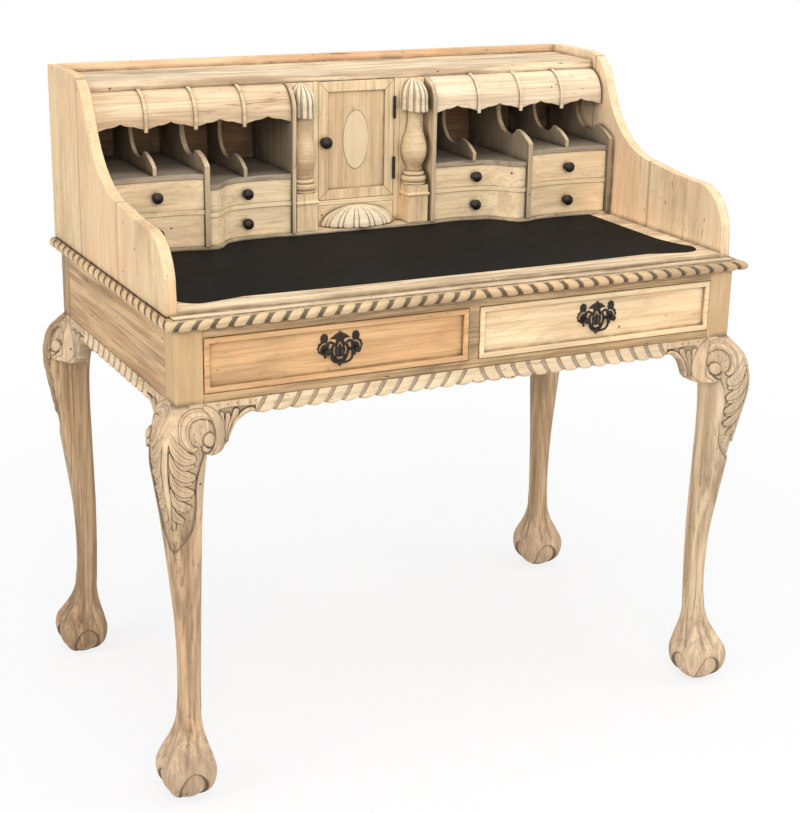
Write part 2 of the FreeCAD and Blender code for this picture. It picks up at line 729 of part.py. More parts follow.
def inner_wave(shift):
    """Plan of an inner bay's front, from the screen out to the tall divider."""
    flat = divider_inner - s.step_flat
    turn = flat - s.step_run
    run = divider_inner - screen_outer
    step = s.wave_inner_deep - s.wave_inner_step
    points = [
        corner(screen_outer, s.wave_inner_end), bend(screen_outer + run * 0.26, s.wave_inner_deep),
        corner(screen_outer + run * 0.5, s.wave_inner_deep - step * 0.05),
        bend(screen_outer + run * 0.65, s.wave_inner_deep - step * 0.15),
        corner(turn, s.wave_inner_step + step * 0.52),
        bend(turn + s.step_run * 0.41, s.wave_inner_step + step * 0.25),
        corner(flat, s.wave_inner_step), corner(divider_inner, s.wave_inner_step),
    ]
    return shifted(points, up=shift)


def outer_wave(shift):
    """Plan of an outer bay's front, from the tall divider out to the cheek."""
    run = cheek_inner - divider_outer
    points = [
        corner(divider_outer, s.wave_outer_step),
        bend(divider_outer + run * 0.14, between(s.wave_outer_step, s.wave_outer_deep, 0.70)),
        corner(divider_outer + run * 0.5, s.wave_outer_deep),
        bend(divider_outer + run * 0.80, between(s.wave_outer_end, s.wave_outer_deep, 0.70)),
        corner(cheek_inner, s.wave_outer_end),
    ]
    return shifted(points, up=shift)


def ledge_front(shift):
    """Plan of the ledge's front edge on the right-hand half, from the screen to the side panel."""
    lip = -s.ledge_lip + shift
    end = corner(panel_inner, s.wave_outer_end + lip)
    return inner_wave(lip) + outer_wave(lip) + [end]


def make_top():
    """Main top board, the writing board laid on it and the leather let into that."""
    x = (-half_width, half_width)
    node("desk_top", board("desk_top", x, (-half_depth, top_back), (top_low, top_high)))
    outline = rectangle((-panel_inner, panel_inner), (-s.side_front, back_front))
    writing = slab_flat("writing_board", [outline], top_high, s.writing_height)
    recess = new_sketch(writing, "XY_Plane", s.writing_height)
    draw(recess, leather_outline())
    sink = writing.newObject("PartDesign::Pocket", "LeatherRecess")
    sink.Profile = recess
    sink.setExpression("Length", s.leather_recess.text)
    node("writing_board", writing)
    floor = s.writing_height - s.leather_recess
    leather = slab_flat("writing_leather", [leather_outline()], floor, floor + s.leather_thickness)
    node("writing_leather", leather)


def leather_outline():
    """The leather: bulging front corners, straight sides, its back edge under the ledge."""
    side = s.leather_half_width
    front = -s.leather_front
    out = side + s.leather_corner_out
    forward = front - s.leather_corner_forward
    wave = [p for p in ledge_front(s.leather_under_ledge) if p.x.number < side.number]
    back = wave[-1].y
    right = [
        corner(side * 0.48, front), corner(side * 0.82, front + s.leather_corner_forward * 0.5),
        bend(side * 0.9, front - s.leather_corner_forward * 0.5), corner(side * 0.955, forward),
        bend(out - s.leather_corner_out * 0.4, forward + s.leather_corner_forward * 0.9),
        corner(out, front * 0.86), bend(side + s.leather_corner_out * 0.3, front * 0.7),
        corner(side, front * 0.52), corner(side, back),
    ]
    half = right + list(reversed(wave[:-1]))
    return half + mirrored(half)


# ---------------------------------------------------------------- superstructure: shell and shelves

def side_panel_outline():
    """Side panel: tall at the back, falling in a hollow curve to a rounded front."""
    h = s.side_height
    front = -s.side_front
    depth = top_back + s.side_front
    return [
        corner(top_back, top_high), corner(top_back, gallery_high - h * 0.02),
        bend(top_back - h * 0.006, gallery_high - h * 0.006), corner(top_back - h * 0.02, gallery_high),
        corner(front + depth * 0.743, gallery_high), bend(front + depth * 0.698, gallery_high - h * 0.045),
        corner(front + depth * 0.657, gallery_high - h * 0.153),
        corner(front + depth * 0.622, gallery_high - h * 0.289),
        bend(front + depth * 0.527, gallery_high - h * 0.482),
        corner(front + depth * 0.378, gallery_high - h * 0.574),
        corner(front + depth * 0.260, gallery_high - h * 0.602),
        corner(front + depth * 0.149, gallery_high - h * 0.613),
        bend(front + depth * 0.045, gallery_high - h * 0.686),
        corner(front + depth * 0.008, gallery_high - h * 0.818),
        corner(front, top_high),
    ]


def make_carcass():
    """Side panels, back, gallery and top shelf."""
    outer = panel_inner + s.side_thickness
    pair("side_panel", slab_side("side_panel_right", [side_panel_outline()], panel_inner, outer))
    inside = (-panel_inner, panel_inner)
    back_y = (back_front, top_back)
    node("back_panel", board("back_panel", inside, back_y, (top_high, shelf_high)))
    node("gallery_board", board("gallery_board", inside, back_y, (shelf_high, gallery_high)))
    node("top_shelf", board("top_shelf", inside, (s.shelf_front, back_front), (shelf_low, shelf_high)))
    half = ledge_front(size(0))
    front = mirrored(half) + half
    plan = front + [corner(panel_inner, back_front), corner(-panel_inner, back_front)]
    node("ledge_board", slab_flat("ledge_board", [plan], s.writing_height, ledge_high))


outer_blade_low = ledge_high + s.outer_drawer_low
outer_nook_low = outer_blade_low + s.blade_thickness + s.outer_drawer_high
outer_nook = outer_nook_low + s.nook_shelf_thickness
inner_blade_low = ledge_high + s.inner_drawer_low
inner_nook_low = inner_blade_low + s.blade_thickness + s.inner_drawer_high
inner_nook = inner_nook_low + s.nook_shelf_thickness


def scroll_outline(front, base, low, top=None):
    """Divider with a scrolled front edge; base is the shelf it rises from, low its bottom edge."""
    depth = s.scroll_depth
    return [
        corner(back_front, low), corner(front, low), corner(front, base + s.scroll_nose),
        bend(front + depth * 0.17, between(base + s.scroll_nose, base + s.scroll_peak, 0.62)),
        corner(front + depth * 0.39, base + s.scroll_peak),
        bend(front + depth * 0.49, between(base + s.scroll_dip, base + s.scroll_peak, 0.25)),
        corner(front + depth * 0.64, base + s.scroll_dip),
        bend(front + depth * 0.88, between(base + s.scroll_dip, base + s.scroll_top, 0.30)),
        corner(front + depth, base + s.scroll_top), corner(front + depth, shelf_low),
        corner(back_front, shelf_low),
    ]


def screen_outline():
    """Outer screen: upright front whose head follows the curve of the canopy."""
    front = s.screen_front
    curve = s.canopy_curve
    return [
        corner(back_front, ledge_high), corner(front, ledge_high), corner(front, shelf_low - curve),
        bend(between(front, s.shelf_front, 0.24), shelf_low - curve * 0.30),
        corner(s.shelf_front, shelf_low), corner(back_front, shelf_low),
    ]


door_low = ledge_high + s.shell_height + s.cupboard_floor_thickness + s.door_gap
door_high = shelf_low - s.door_gap
hinge_middles = (door_low + s.hinge_from_end, door_high - s.hinge_from_end)


def leaf_recesses(name, inner):
    """The two sinkings for the hinge leaves in a face at the given place, cut towards the right."""
    y = (s.jamb_front, s.jamb_front + s.hinge_leaf_width)
    half = s.hinge_length / 2
    sinkings = [board(f"{name}{number}", (inner, inner + s.hinge_leaf), y, (middle - half, middle + half))
                for number, middle in enumerate(hinge_middles, start=1)]
    return group(name, sinkings)


def make_uprights():
    """Cheeks, tall dividers, screens, jambs and the small pigeonhole dividers."""
    front = s.divider_front
    cheek = slab_side("Cheek", [scroll_outline(front, outer_nook, ledge_high)], cheek_inner, panel_inner)
    tall = slab_side("TallDivider", [scroll_outline(front, outer_nook, ledge_high)],
                     divider_inner, divider_outer)
    screen = slab_side("Screen", [screen_outline()], screen_inner, screen_outer)
    jamb_y = (s.jamb_front, back_front)
    jamb_z = (ledge_high, shelf_low)
    plain_jamb = board("JambBlank", (s.jamb_inner, jamb_outer), jamb_y, jamb_z)
    jamb = combine("Part::Cut", "Jamb", plain_jamb, leaf_recesses("JambRecess", s.jamb_inner))
    node("end_cheeks", group("end_cheeks", [cheek, opposite("CheekLeft", cheek)]))
    node("tall_dividers", group("tall_dividers", [tall, opposite("TallDividerLeft", tall)]))
    node("slide_screens", group("slide_screens", [screen, opposite("ScreenLeft", screen)]))
    node("door_jambs", group("door_jambs", [jamb, opposite("JambLeft", plain_jamb)]))
    half = s.small_divider_thickness / 2
    outer_x = between(divider_outer, cheek_inner)
    inner_x = between(screen_outer, divider_inner)
    outer_front = s.wave_outer_deep
    inner_front = between(s.wave_inner_end, s.wave_inner_deep, 0.25)
    outer = slab_side("OuterDivider", [scroll_outline(outer_front, outer_nook, outer_nook)],
                      outer_x - half, outer_x + half)
    inner = slab_side("InnerDivider", [scroll_outline(inner_front, inner_nook, inner_nook)],
                      inner_x - half, inner_x + half)
    pieces = [outer, inner, opposite("OuterDividerLeft", outer), opposite("InnerDividerLeft", inner)]
    node("pigeonhole_dividers", group("pigeonhole_dividers", pieces))


def make_shelves():
    """Pigeonhole shelves, and the blades between two drawers, with serpentine front edges."""
    lip = -s.blade_lip
    bays = (("Outer", outer_wave(lip), outer_blade_low, outer_nook_low),
            ("Inner", inner_wave(lip), inner_blade_low, inner_nook_low))
    shelves = []
    blades = []
    for name, wave, blade_low, nook_low in bays:
        plan = wave + [corner(wave[-1].x, back_front), corner(wave[0].x, back_front)]
        shelf = slab_flat(f"{name}Shelf", [plan], nook_low, nook_low + s.nook_shelf_thickness)
        blade = slab_flat(f"{name}Blade", [plan], blade_low, blade_low + s.blade_thickness)
        shelves += [shelf, opposite(f"{name}ShelfLeft", shelf)]
        blades += [blade, opposite(f"{name}BladeLeft", blade)]
    node("pigeonhole_shelves", group("pigeonhole_shelves", shelves))
    node("drawer_blades", group("drawer_blades", blades))
    floor_low = ledge_high + s.shell_height
    floor = board("cupboard_floor", (-s.jamb_inner, s.jamb_inner), (s.jamb_front, back_front),
                  (floor_low, floor_low + s.cupboard_floor_thickness))
    node("cupboard_floor", floor)


# ---------------------------------------------------------------- the canopies

canopy_low = shelf_low - s.canopy_height


def canopy_arc(radius, share):
    """A point of the canopy's rounded part; share runs from 0 at the face to 1 at the shelf."""
    angle = math.pi / 2 * share
    centre = s.canopy_front + s.canopy_curve
    return centre - radius * math.cos(angle), shelf_low - s.canopy_curve + radius * math.sin(angle)


def canopy_profile():
    """Section of the canopy: under the shelf, round, and down to its lower edge."""
    outer = s.canopy_curve
    inner = outer - s.canopy_thickness
    front = s.canopy_front
    turn = shelf_low - outer
    back = front + outer + s.canopy_thickness
    return [
        corner(front, canopy_low), corner(front, turn), bend(*canopy_arc(outer, 0.5)),
        corner(front + outer, shelf_low), corner(back, shelf_low),
        corner(back, shelf_low - s.canopy_thickness), corner(front + outer, shelf_low - s.canopy_thickness),
        bend(*canopy_arc(inner, 0.5)), corner(front + s.canopy_thickness, turn),
        corner(front + s.canopy_thickness, canopy_low),
    ]


def rib_profile():
    """Section of a rib: it lies on the canopy's face and stops just short of the shelf."""
    inner = s.canopy_curve
    outer = inner + s.rib_proud
    front = s.canopy_front
    turn = shelf_low - inner
    return [
        corner(front, canopy_low), corner(front, turn), bend(*canopy_arc(inner, 0.5)),
        corner(*canopy_arc(inner, 0.92)), corner(*canopy_arc(outer, 0.92)), bend(*canopy_arc(outer, 0.5)),
        corner(front - s.rib_proud, turn), corner(front - s.rib_proud, canopy_low),
    ]


def scallop(left, right):
    """One bay of the canopy's lower edge: down at both ribs, with a cusp between."""
    low = canopy_low + s.canopy_edge
    cusp = canopy_low + s.canopy_cusp
    middle = between(left, right)
    run = middle - left
    half = [
        corner(left, low), bend(left + run * 0.22, low + (cusp - low) * 0.22),
        corner(left + run * 0.48, low + (cusp - low) * 0.52),
        bend(left + run * 0.78, low + (cusp - low) * 0.66), corner(middle, cusp),
    ]
    other = [Point(left + right - p.x, p.y, p.bend) for p in reversed(half[:-1])]
    return half + other


def make_canopy():
    """Rounded canopy over one pair of pigeonholes: scalloped board and three ribs."""
    left = screen_outer
    right = panel_inner - s.canopy_end_gap
    bays = 4
    stops = [between(left, right, step / bays) for step in range(bays + 1)]
    hood = slab_side("CanopyBoard", [canopy_profile()], left, right)
    cutter = new_sketch(hood, "XZ_Plane")
    edge = []
    for low, high in zip(stops, stops[1:]):
        edge += scallop(low, high)[(1 if edge else 0):]
    below = canopy_low - s.canopy_edge
    draw(cutter, edge + [corner(right, below), corner(left, below)])
    pocket_through(hood, cutter)
    half = s.rib_width / 2
    ribs = [slab_side(f"Rib{number}", [rib_profile()], stop - half, stop + half)
            for number, stop in enumerate(stops[1:-1], start=1)]
    pair("canopy", group("canopy_right", [hood] + ribs))


# ---------------------------------------------------------------- drawers and their furniture

def make_knob(name, x, front, z, scale=1):
    """A turned iron knob standing out from the face at the given front."""
    body = new_body(name)
    sketch = new_sketch(body, "XY_Plane")
    stem = s.knob_stem_radius * scale
    head = s.knob_radius * scale
    neck = s.knob_stem_length * scale
    length = s.knob_head_length * scale
    draw(sketch, [
        corner(0, 0), corner(stem * 1.5, 0), corner(stem * 1.5, -neck * 0.2), corner(stem, -neck * 0.45),
        corner(stem, -neck), bend(head, -neck - length * 0.42), corner(stem, -neck - length * 0.93),
        bend(stem * 0.5, -neck - length * 0.985), corner(0, -neck - length),
    ])
    turning = body.newObject("PartDesign::Revolution", name + "Turning")
    turning.Profile = sketch
    turning.ReferenceAxis = (sketch, ["V_Axis"])
    turning.Angle = 360
    for axis, place in (("x", x), ("y", front), ("z", z)):
        body.setExpression(f"Placement.Base.{axis}", size(place).text)
    return body


def make_frieze_drawer():
    """Right-hand frieze drawer: panelled front with a bead, and its box."""
    span_x = (drawer_left, drawer_right)
    span_z = (drawer_low, drawer_high)
    front = board("DrawerFront", span_x, (panel_front, drawer_box_front), span_z)
    w = s.bead_width
    inside = rectangle((span_x[0] + w, span_x[1] - w), (span_z[0] + w, span_z[1] - w))
    bead = slab_front("DrawerBead", [rectangle(span_x, span_z), inside],
                      -half_depth - s.bead_proud, panel_front)
    doc.recompute()
    foremost = bead.Shape.BoundBox.YMin
    rim = [f"Edge{number}" for number, edge in enumerate(bead.Shape.Edges, start=1)
           if math.isclose(edge.BoundBox.YMax, foremost, rel_tol=HAIR)]
    raised = bead.Tip
    rounding = bead.newObject("PartDesign::Fillet", "BeadRounding")
    rounding.Base = (raised, rim)
    rounding.setExpression("Radius", s.bead_round.text)
    side_z = (drawer_low, drawer_low + s.drawer_side_height)
    back = drawer_box_front + s.drawer_length
    box_y = (drawer_box_front, back)
    inner_x = (side_left[1], side_right[0])
    bottom_z = (drawer_low + s.drawer_bottom_thickness / 2, drawer_low + s.drawer_bottom_thickness * 1.5)
    inner_y = (drawer_box_front, back - s.drawer_side_thickness)
    pieces = [
        front, bead,
        board("DrawerSideInner", side_left, box_y, side_z),
        board("DrawerSideOuter", side_right, box_y, side_z),
        board("DrawerBack", inner_x, (inner_y[1], back), (bottom_z[0], side_z[1])),
        board("DrawerBottom", inner_x, inner_y, bottom_z),
    ]
    pair("frieze_drawer", group("frieze_drawer_right", pieces))


handle_x = between(drawer_left, drawer_right)
handle_z = between(drawer_low, drawer_high)
handle_front = panel_front - s.plate_thickness
pivot_y = handle_front - s.handle_post_length * 0.6


def handle_half_outline():
    """Right half of the back plate, from the top finial round to the bottom one."""
    w = s.handle_half_width
    up = s.handle_rise
    down = s.handle_fall
    return [
        corner(0, up), bend(w * 0.10, up * 0.86), corner(w * 0.22, up * 0.80),
        corner(w * 0.42, up * 0.66), bend(w * 0.36, up * 0.48), corner(w * 0.27, up * 0.40),
        bend(w * 0.40, up * 0.36), corner(w * 0.52, up * 0.46), corner(w * 0.52, up * 0.72),
        bend(w * 0.72, up * 0.94), corner(w * 0.92, up * 0.80), corner(w * 0.90, up * 0.50),
        bend(w * 1.0, up * 0.12), corner(w * 0.90, -down * 0.18),
        bend(w * 0.72, -down * 0.40), corner(w * 0.50, -down * 0.28),
        bend(w * 0.40, -down * 0.60), corner(w * 0.16, -down * 0.84), corner(w * 0.05, -down * 0.90),
        bend(w * 0.04, -down * 0.98), corner(0, -down),
    ]


def handle_holes():
    """Pierced openings of the right half of the back plate, and the one in the middle."""
    w = s.handle_half_width
    up = s.handle_rise
    down = s.handle_fall
    wing = [corner(w * 0.66, up * 0.34), bend(w * 0.80, up * 0.36), corner(w * 0.88, up * 0.10),
            bend(w * 0.76, up * 0.22)]
    eye = [corner(w * 0.34, up * 0.22), bend(w * 0.44, up * 0.18), corner(w * 0.38, -down * 0.06),
           bend(w * 0.30, up * 0.10)]
    heart = [corner(0, -down * 0.22), corner(w * 0.14, -down * 0.28),
             bend(w * 0.10, -down * 0.66), corner(0, -down * 0.74)]
    middle = heart + mirrored(heart[1:-1])
    return [wing, mirrored_closed(wing), eye, mirrored_closed(eye), middle]


def mirrored_closed(points):
    """A closed outline on the other side, still starting with a corner."""
    image = mirrored(points)
    return image[-1:] + image[:-1] if image[0].bend else image


def make_handle():
    """Right-hand bail handle: pierced plate, two bored posts and the swinging bail."""
    half = handle_half_outline()
    outline = half + mirrored(half[1:-1])
    outlines = [shifted(one, handle_x, handle_z) for one in [outline] + handle_holes()]
    plate = slab_front("HandlePlate", outlines, handle_front, panel_front)
    spread = s.post_spacing / 2
    pieces = [plate]
    for name, side in (("HandlePostInner", -1), ("HandlePostOuter", 1)):
        stub = slab_front_round(name, handle_x + spread * side, handle_z, s.handle_post_radius,
                                handle_front - s.handle_post_length, handle_front)
        bore = new_sketch(stub, "YZ_Plane", handle_x + (spread - s.handle_post_radius * 1.5) * side)
        draw_circle(bore, pivot_y, handle_z, s.bail_radius + s.bail_bore_gap)
        drill = stub.newObject("PartDesign::Pocket", name + "Bore")
        drill.Profile = bore
        drill.Reversed = side > 0
        drill.setExpression("Length", (s.handle_post_radius * 2.0).text)
        pieces.append(stub)
    pair("handle_plate", group("handle_plate_right", pieces))
    pair("bail", make_bail(spread))


def slab_front_round(name, x, z, radius, front, back):
    """A cylinder along the depth axis between two depths."""
    body = new_body(name)
    sketch = new_sketch(body, "XZ_Plane", -size(back))
    draw_circle(sketch, x, z, radius)
    pad(body, sketch, size(back) - front)
    return body


def make_bail(spread):
    """The bail: one bent rod whose two ends turn outwards into the posts."""
    body = new_body("bail_right")
    r = s.bail_corner
    shoulder = s.bail_shoulder
    low = -s.bail_drop
    end = spread + s.handle_post_radius * 0.2
    right = [
        corner(end, 0), corner(shoulder + r, 0), bend(shoulder + r * 0.2929, -r * 0.2929),
        corner(shoulder, -r), corner(shoulder, low * 0.45), bend(shoulder * 0.87, low * 0.76),
        corner(shoulder * 0.52, low * 0.93), bend(0, low),
    ]
    path = right + mirrored(right[:-1])
    spine = new_sketch(body, "XZ_Plane", -pivot_y)
    draw(spine, shifted(path, handle_x, handle_z), closed=False)
    ring = new_sketch(body, "YZ_Plane", handle_x + end)
    draw_circle(ring, pivot_y, handle_z, s.bail_radius)
    doc.recompute()
    rod = body.newObject("PartDesign::AdditivePipe", "BailRod")
    rod.Profile = ring
    rod.Spine = (spine, [f"Edge{number}" for number in range(1, len(spine.Shape.Edges) + 1)])
    return body


def make_small_drawer(bay, level, wave, low, high):
    """A serpentine drawer of a right-hand bay with its knob: shaped front, bottom and three sides."""
    name = f"drawer_{bay}_{level}"
    left = wave[0].x + s.small_gap
    right = wave[-1].x - s.small_gap
    z = (low + s.runner_gap, high - s.small_gap)
    board_thickness = s.small_board
    face = [Point(left, wave[0].y, False)] + wave[1:-1] + [Point(right, wave[-1].y, False)]
    rear = list(reversed(shifted(face, up=s.small_front_thickness)))
    front = slab_flat(f"{name}Front", [face + rear], *z)
    back = s.small_drawer_back
    floor_high = z[0] + board_thickness / 2
    side_z = (floor_high, z[1] - board_thickness)
    scribe = shifted(face, up=s.small_front_thickness / 2)
    blanks = [
        slab_flat(f"{name}Bottom", [scribe + [corner(right, back), corner(left, back)]], z[0], floor_high),
        board(f"{name}SideIn", (left, left + board_thickness), (scribe[0].y, back), side_z),
        board(f"{name}SideOut", (right - board_thickness, right), (scribe[-1].y, back), side_z),
    ]
    inner = (left + board_thickness, right - board_thickness)
    box = [combine("Part::Cut", f"{blank.Name}Scribed", blank, front) for blank in blanks]
    box.append(board(f"{name}Back", inner, (back - board_thickness, back), side_z))
    pair(name, group(f"{name}_right", [front] + box))
    middle = wave[2]
    blank = make_knob(f"{name}KnobBlank", middle.x, middle.y, between(*z))
    pair(f"knob_{bay}_{level}", combine("Part::Cut", f"knob_{bay}_{level}_right", blank, front))


def make_small_drawers():
    outer = outer_wave(size(0))
    inner = inner_wave(size(0))
    make_small_drawer("outer", "lower", outer, ledge_high, outer_blade_low)
    make_small_drawer("outer", "upper", outer, outer_blade_low + s.blade_thickness, outer_nook_low)
    make_small_drawer("inner", "lower", inner, ledge_high, inner_blade_low)
    make_small_drawer("inner", "upper", inner, inner_blade_low + s.blade_thickness, inner_nook_low)


def plain_box(name, x, y, z, thickness):
    """Bottom, two sides and back of a plain box behind a front; open at the top."""
    floor_high = z[0] + thickness
    walls = (floor_high, z[1])
    inner = (x[0] + thickness, x[1] - thickness)
    return [
        board(f"{name}Bottom", x, y, (z[0], floor_high)),
        board(f"{name}SideLeft", (x[0], inner[0]), y, walls),
        board(f"{name}SideRight", (inner[1], x[1]), y, walls),
        board(f"{name}Back", inner, (y[1] - thickness, y[1]), walls),
    ]


def make_shell_drawer():
    """Low drawer under the cupboard: flat front with a carved shell dome on it."""
    half = s.jamb_inner - s.small_gap
    x = (-half, half)
    z = (ledge_high + s.runner_gap, ledge_high + s.shell_height - s.small_gap)
    face = s.jamb_front
    rear = face + s.slide_front_thickness
    front = board("ShellFront", x, (face, rear), z)
    dome = add("Part::Ellipsoid", "ShellDome")
    radii = ((z[1] - z[0]) - s.shell_margin, s.jamb_inner + s.shell_margin, s.shell_bow + s.shell_margin)
    for number, radius in enumerate(radii, start=1):
        dome.setExpression(f"Radius{number}", radius.text)
    for axis, place in (("y", face), ("z", z[0])):
        dome.setExpression(f"Placement.Base.{axis}", place.text)
    for angle, value in (("Angle1", 0), ("Angle2", 90), ("Angle3", 360)):
        setattr(dome, angle, value)
    block = board("ShellBlock", (s.shell_margin - half, half - s.shell_margin),
                  (face - s.shell_bow * 2, face), z)
    shell = combine("Part::Common", "Shell", dome, block)
    box = plain_box("ShellBox", x, (rear, s.slide_back), (z[0], z[1] - s.slide_board), s.slide_board)
    node("shell_drawer", group("shell_drawer", [front, shell] + box))


def make_document_slide():
    """Tall narrow box that slides out; its front carries a plinth, a baluster and a shell hood."""
    x = (jamb_outer + s.slide_gap, screen_inner - s.slide_gap)
    z = (ledge_high + s.runner_gap, shelf_low - s.slide_gap)
    face = s.jamb_front
    rear = face + s.slide_front_thickness
    front = board("SlideFront", x, (face, rear), z)
    box = plain_box("SlideBox", x, (rear, s.slide_back), (z[0], z[1] - s.plinth_width), s.slide_board)
    middle = between(*x)
    half = s.plinth_width / 2
    plinth_high = ledge_high + s.plinth_height
    cap_high = plinth_high + s.cap_height
    plinth_y = (face - s.plinth_depth, face)
    plinth = board("Plinth", (middle - half, middle + half), plinth_y, (z[0], plinth_high))
    cap = make_cap(middle, face, plinth_high, cap_high)
    hood_low = shelf_low - s.capital_height
    baluster = make_baluster(middle, face, cap_high, hood_low)
    hood = make_hood(middle, face, hood_low, z[1])
    pair("document_slide", group("document_slide_right", [front, plinth, cap, baluster, hood] + box))


def make_cap(middle, face, low, high):
    """Block on the plinth with a half-round moulding round its foot on three sides."""
    half = s.plinth_width / 2
    out = s.cap_overhang
    rise = high - low
    steps = ((0, 0), (0.08, 0.8), (0.18, 1), (0.28, 0.8), (0.36, 0), (1, 0))
    body = new_body("Cap")
    rings = []
    for share, reach in steps:
        ring = new_sketch(body, "XY_Plane", low + rise * share)
        wide = half + out * reach
        draw(ring, rectangle((middle - wide, middle + wide), (face - s.plinth_depth - out * reach, face)))
        rings.append(ring)
    lofted = loft(body, rings)
    lofted.Ruled = True
    return body


def make_baluster(middle, face, low, high):
    """Turned baluster, cut flat where it meets the slide's front."""
    rise = high - low
    foot = s.belly_radius
    body = new_body("Baluster")
    sketch = new_sketch(body, "XZ_Plane")
    draw(sketch, [
        corner(0, 0), corner(foot * 0.86, 0), bend(foot * 0.78, rise * 0.035), corner(foot * 0.86, rise * 0.08),
        bend(foot, rise * 0.135), corner(foot * 0.86, rise * 0.19),
        corner(s.waist_radius, rise * 0.225),
        bend(s.waist_radius * 0.93, rise * 0.25), corner(s.waist_radius * 1.02, rise * 0.29),
        bend(s.belly_radius * 0.93, rise * 0.40), corner(s.belly_radius, rise * 0.50),
        bend(s.belly_radius * 0.90, rise * 0.64),
        corner(between(s.neck_radius, s.belly_radius, 0.30), rise * 0.80),
        bend(s.neck_radius, rise * 0.90), corner(s.neck_radius * 1.04, rise), corner(0, rise),
    ])
    turning = body.newObject("PartDesign::Revolution", "BalusterTurning")
    turning.Profile = sketch
    turning.ReferenceAxis = (sketch, ["V_Axis"])
    turning.Angle = 360
    for axis, place in (("x", middle), ("y", face - s.column_depth), ("z", low)):
        body.setExpression(f"Placement.Base.{axis}", place.text)
    wide = s.belly_radius * 2
    block = board("BalusterBlock", (middle - wide, middle + wide), (face - wide * 2, face), (low, high))
    return combine("Part::Common", "BalusterCut", body, block)


def make_hood(middle, face, low, high):
    """Shell hood over the baluster: a small dome that curves back under the shelf."""
    rise = high - low
    body = new_body("Hood")
    stations = ((0, 1.0, 0.97), (0.2, 1.0, 1.0), (0.45, 0.97, 0.95), (0.65, 0.92, 0.82), (0.82, 0.82, 0.60),
                (0.94, 0.68, 0.36), (1.0, 0.56, 0.20))
    rings = []
    for share, width, reach in stations:
        ring = new_sketch(body, "XY_Plane", low + rise * share)
        half = s.capital_half_width * width
        front = face - s.capital_reach * reach
        shoulder = between(front, face, 0.45)
        draw(ring, [
            corner(middle - half, face), corner(middle - half, shoulder), bend(middle, front),
            corner(middle + half, shoulder), corner(middle + half, face),
        ])
        rings.append(ring)
    loft(body, rings)
    return body


def make_door():
    """Cupboard door: four mitred members round a panel with a raised oval, and its knob."""
    half = s.jamb_inner - s.door_gap
    w = s.door_stile_width
    y = (s.jamb_front, s.jamb_front + s.door_thickness)
    stile = [corner(half, door_low), corner(half, door_high), corner(half - w, door_high - w),
             corner(half - w, door_low + w)]
    rail = [corner(-half, door_low), corner(half, door_low), corner(half - w, door_low + w),
            corner(w - half, door_low + w)]
    head = [Point(p.x, door_low + door_high - p.y, False) for p in reversed(rail)]
    plain = slab_front("DoorStile", [stile], *y)
    recesses = leaf_recesses("StileRecess", half - s.hinge_leaf)
    members = [
        combine("Part::Cut", "DoorStileHung", plain, recesses), opposite("DoorStileLeft", plain),
        slab_front("DoorRail", [rail], *y), slab_front("DoorHead", [head], *y),
    ]
    node("door_frame", group("door_frame", members))
    inside = rectangle((w - half, half - w), (door_low + w, door_high - w))
    face = y[0] + s.door_panel_recess
    panel = slab_front("door_panel", [inside], face, face + s.door_panel_thickness)
    oval = new_sketch(panel, "XZ_Plane", -face)
    draw_oval(oval, between(door_low, door_high), s.oval_half_width, s.oval_half_height)
    pad(panel, oval, s.oval_proud)
    node("door_panel", panel)
    knob = make_knob("door_knob", w / 2 - half, y[0], between(door_low, door_high), s.door_knob_scale)
    node("door_knob", knob)
    make_hinges(half)


def draw_oval(sketch, z, half_width_oval, half_height_oval):
    """An upright ellipse on the vertical axis, tied to its centre and both radii."""
    centre = FreeCAD.Vector(0, z.number, 0)
    top = FreeCAD.Vector(0, z.number + half_height_oval.number, 0)
    side = FreeCAD.Vector(half_width_oval.number, z.number, 0)
    index = sketch.addGeometry(Part.Ellipse(top, side, centre), False)
    sketch.exposeInternalGeometry(index)
    ties = []
    tie(ties, sketch, index, 3, Point(size(0), z, False))
    ties.append((Sketcher.Constraint("Vertical", index + 1), None))
    for line, half in ((index + 1, half_height_oval), (index + 2, half_width_oval)):
        ties.append((Sketcher.Constraint("Distance", line, (half * 2).number), half * 2))
    numbers = sketch.addConstraint([constraint for constraint, value in ties])
    for number, (constraint, value) in zip(numbers, ties):
        if value is not None:
            sketch.setExpression(f"Constraints[{number}]", value.text)


def rod(name, x, y, radius, z):
    """An upright cylinder between two heights."""
    cylinder = add("Part::Cylinder", name)
    cylinder.setExpression("Radius", size(radius).text)
    cylinder.setExpression("Height", (size(z[1]) - z[0]).text)
    for axis, place in (("x", x), ("y", y), ("z", z[0])):
        cylinder.setExpression(f"Placement.Base.{axis}", size(place).text)
    return cylinder


def fuse(name, pieces):
    result = add("Part::MultiFuse", name)
    result.Shapes = pieces
    return result


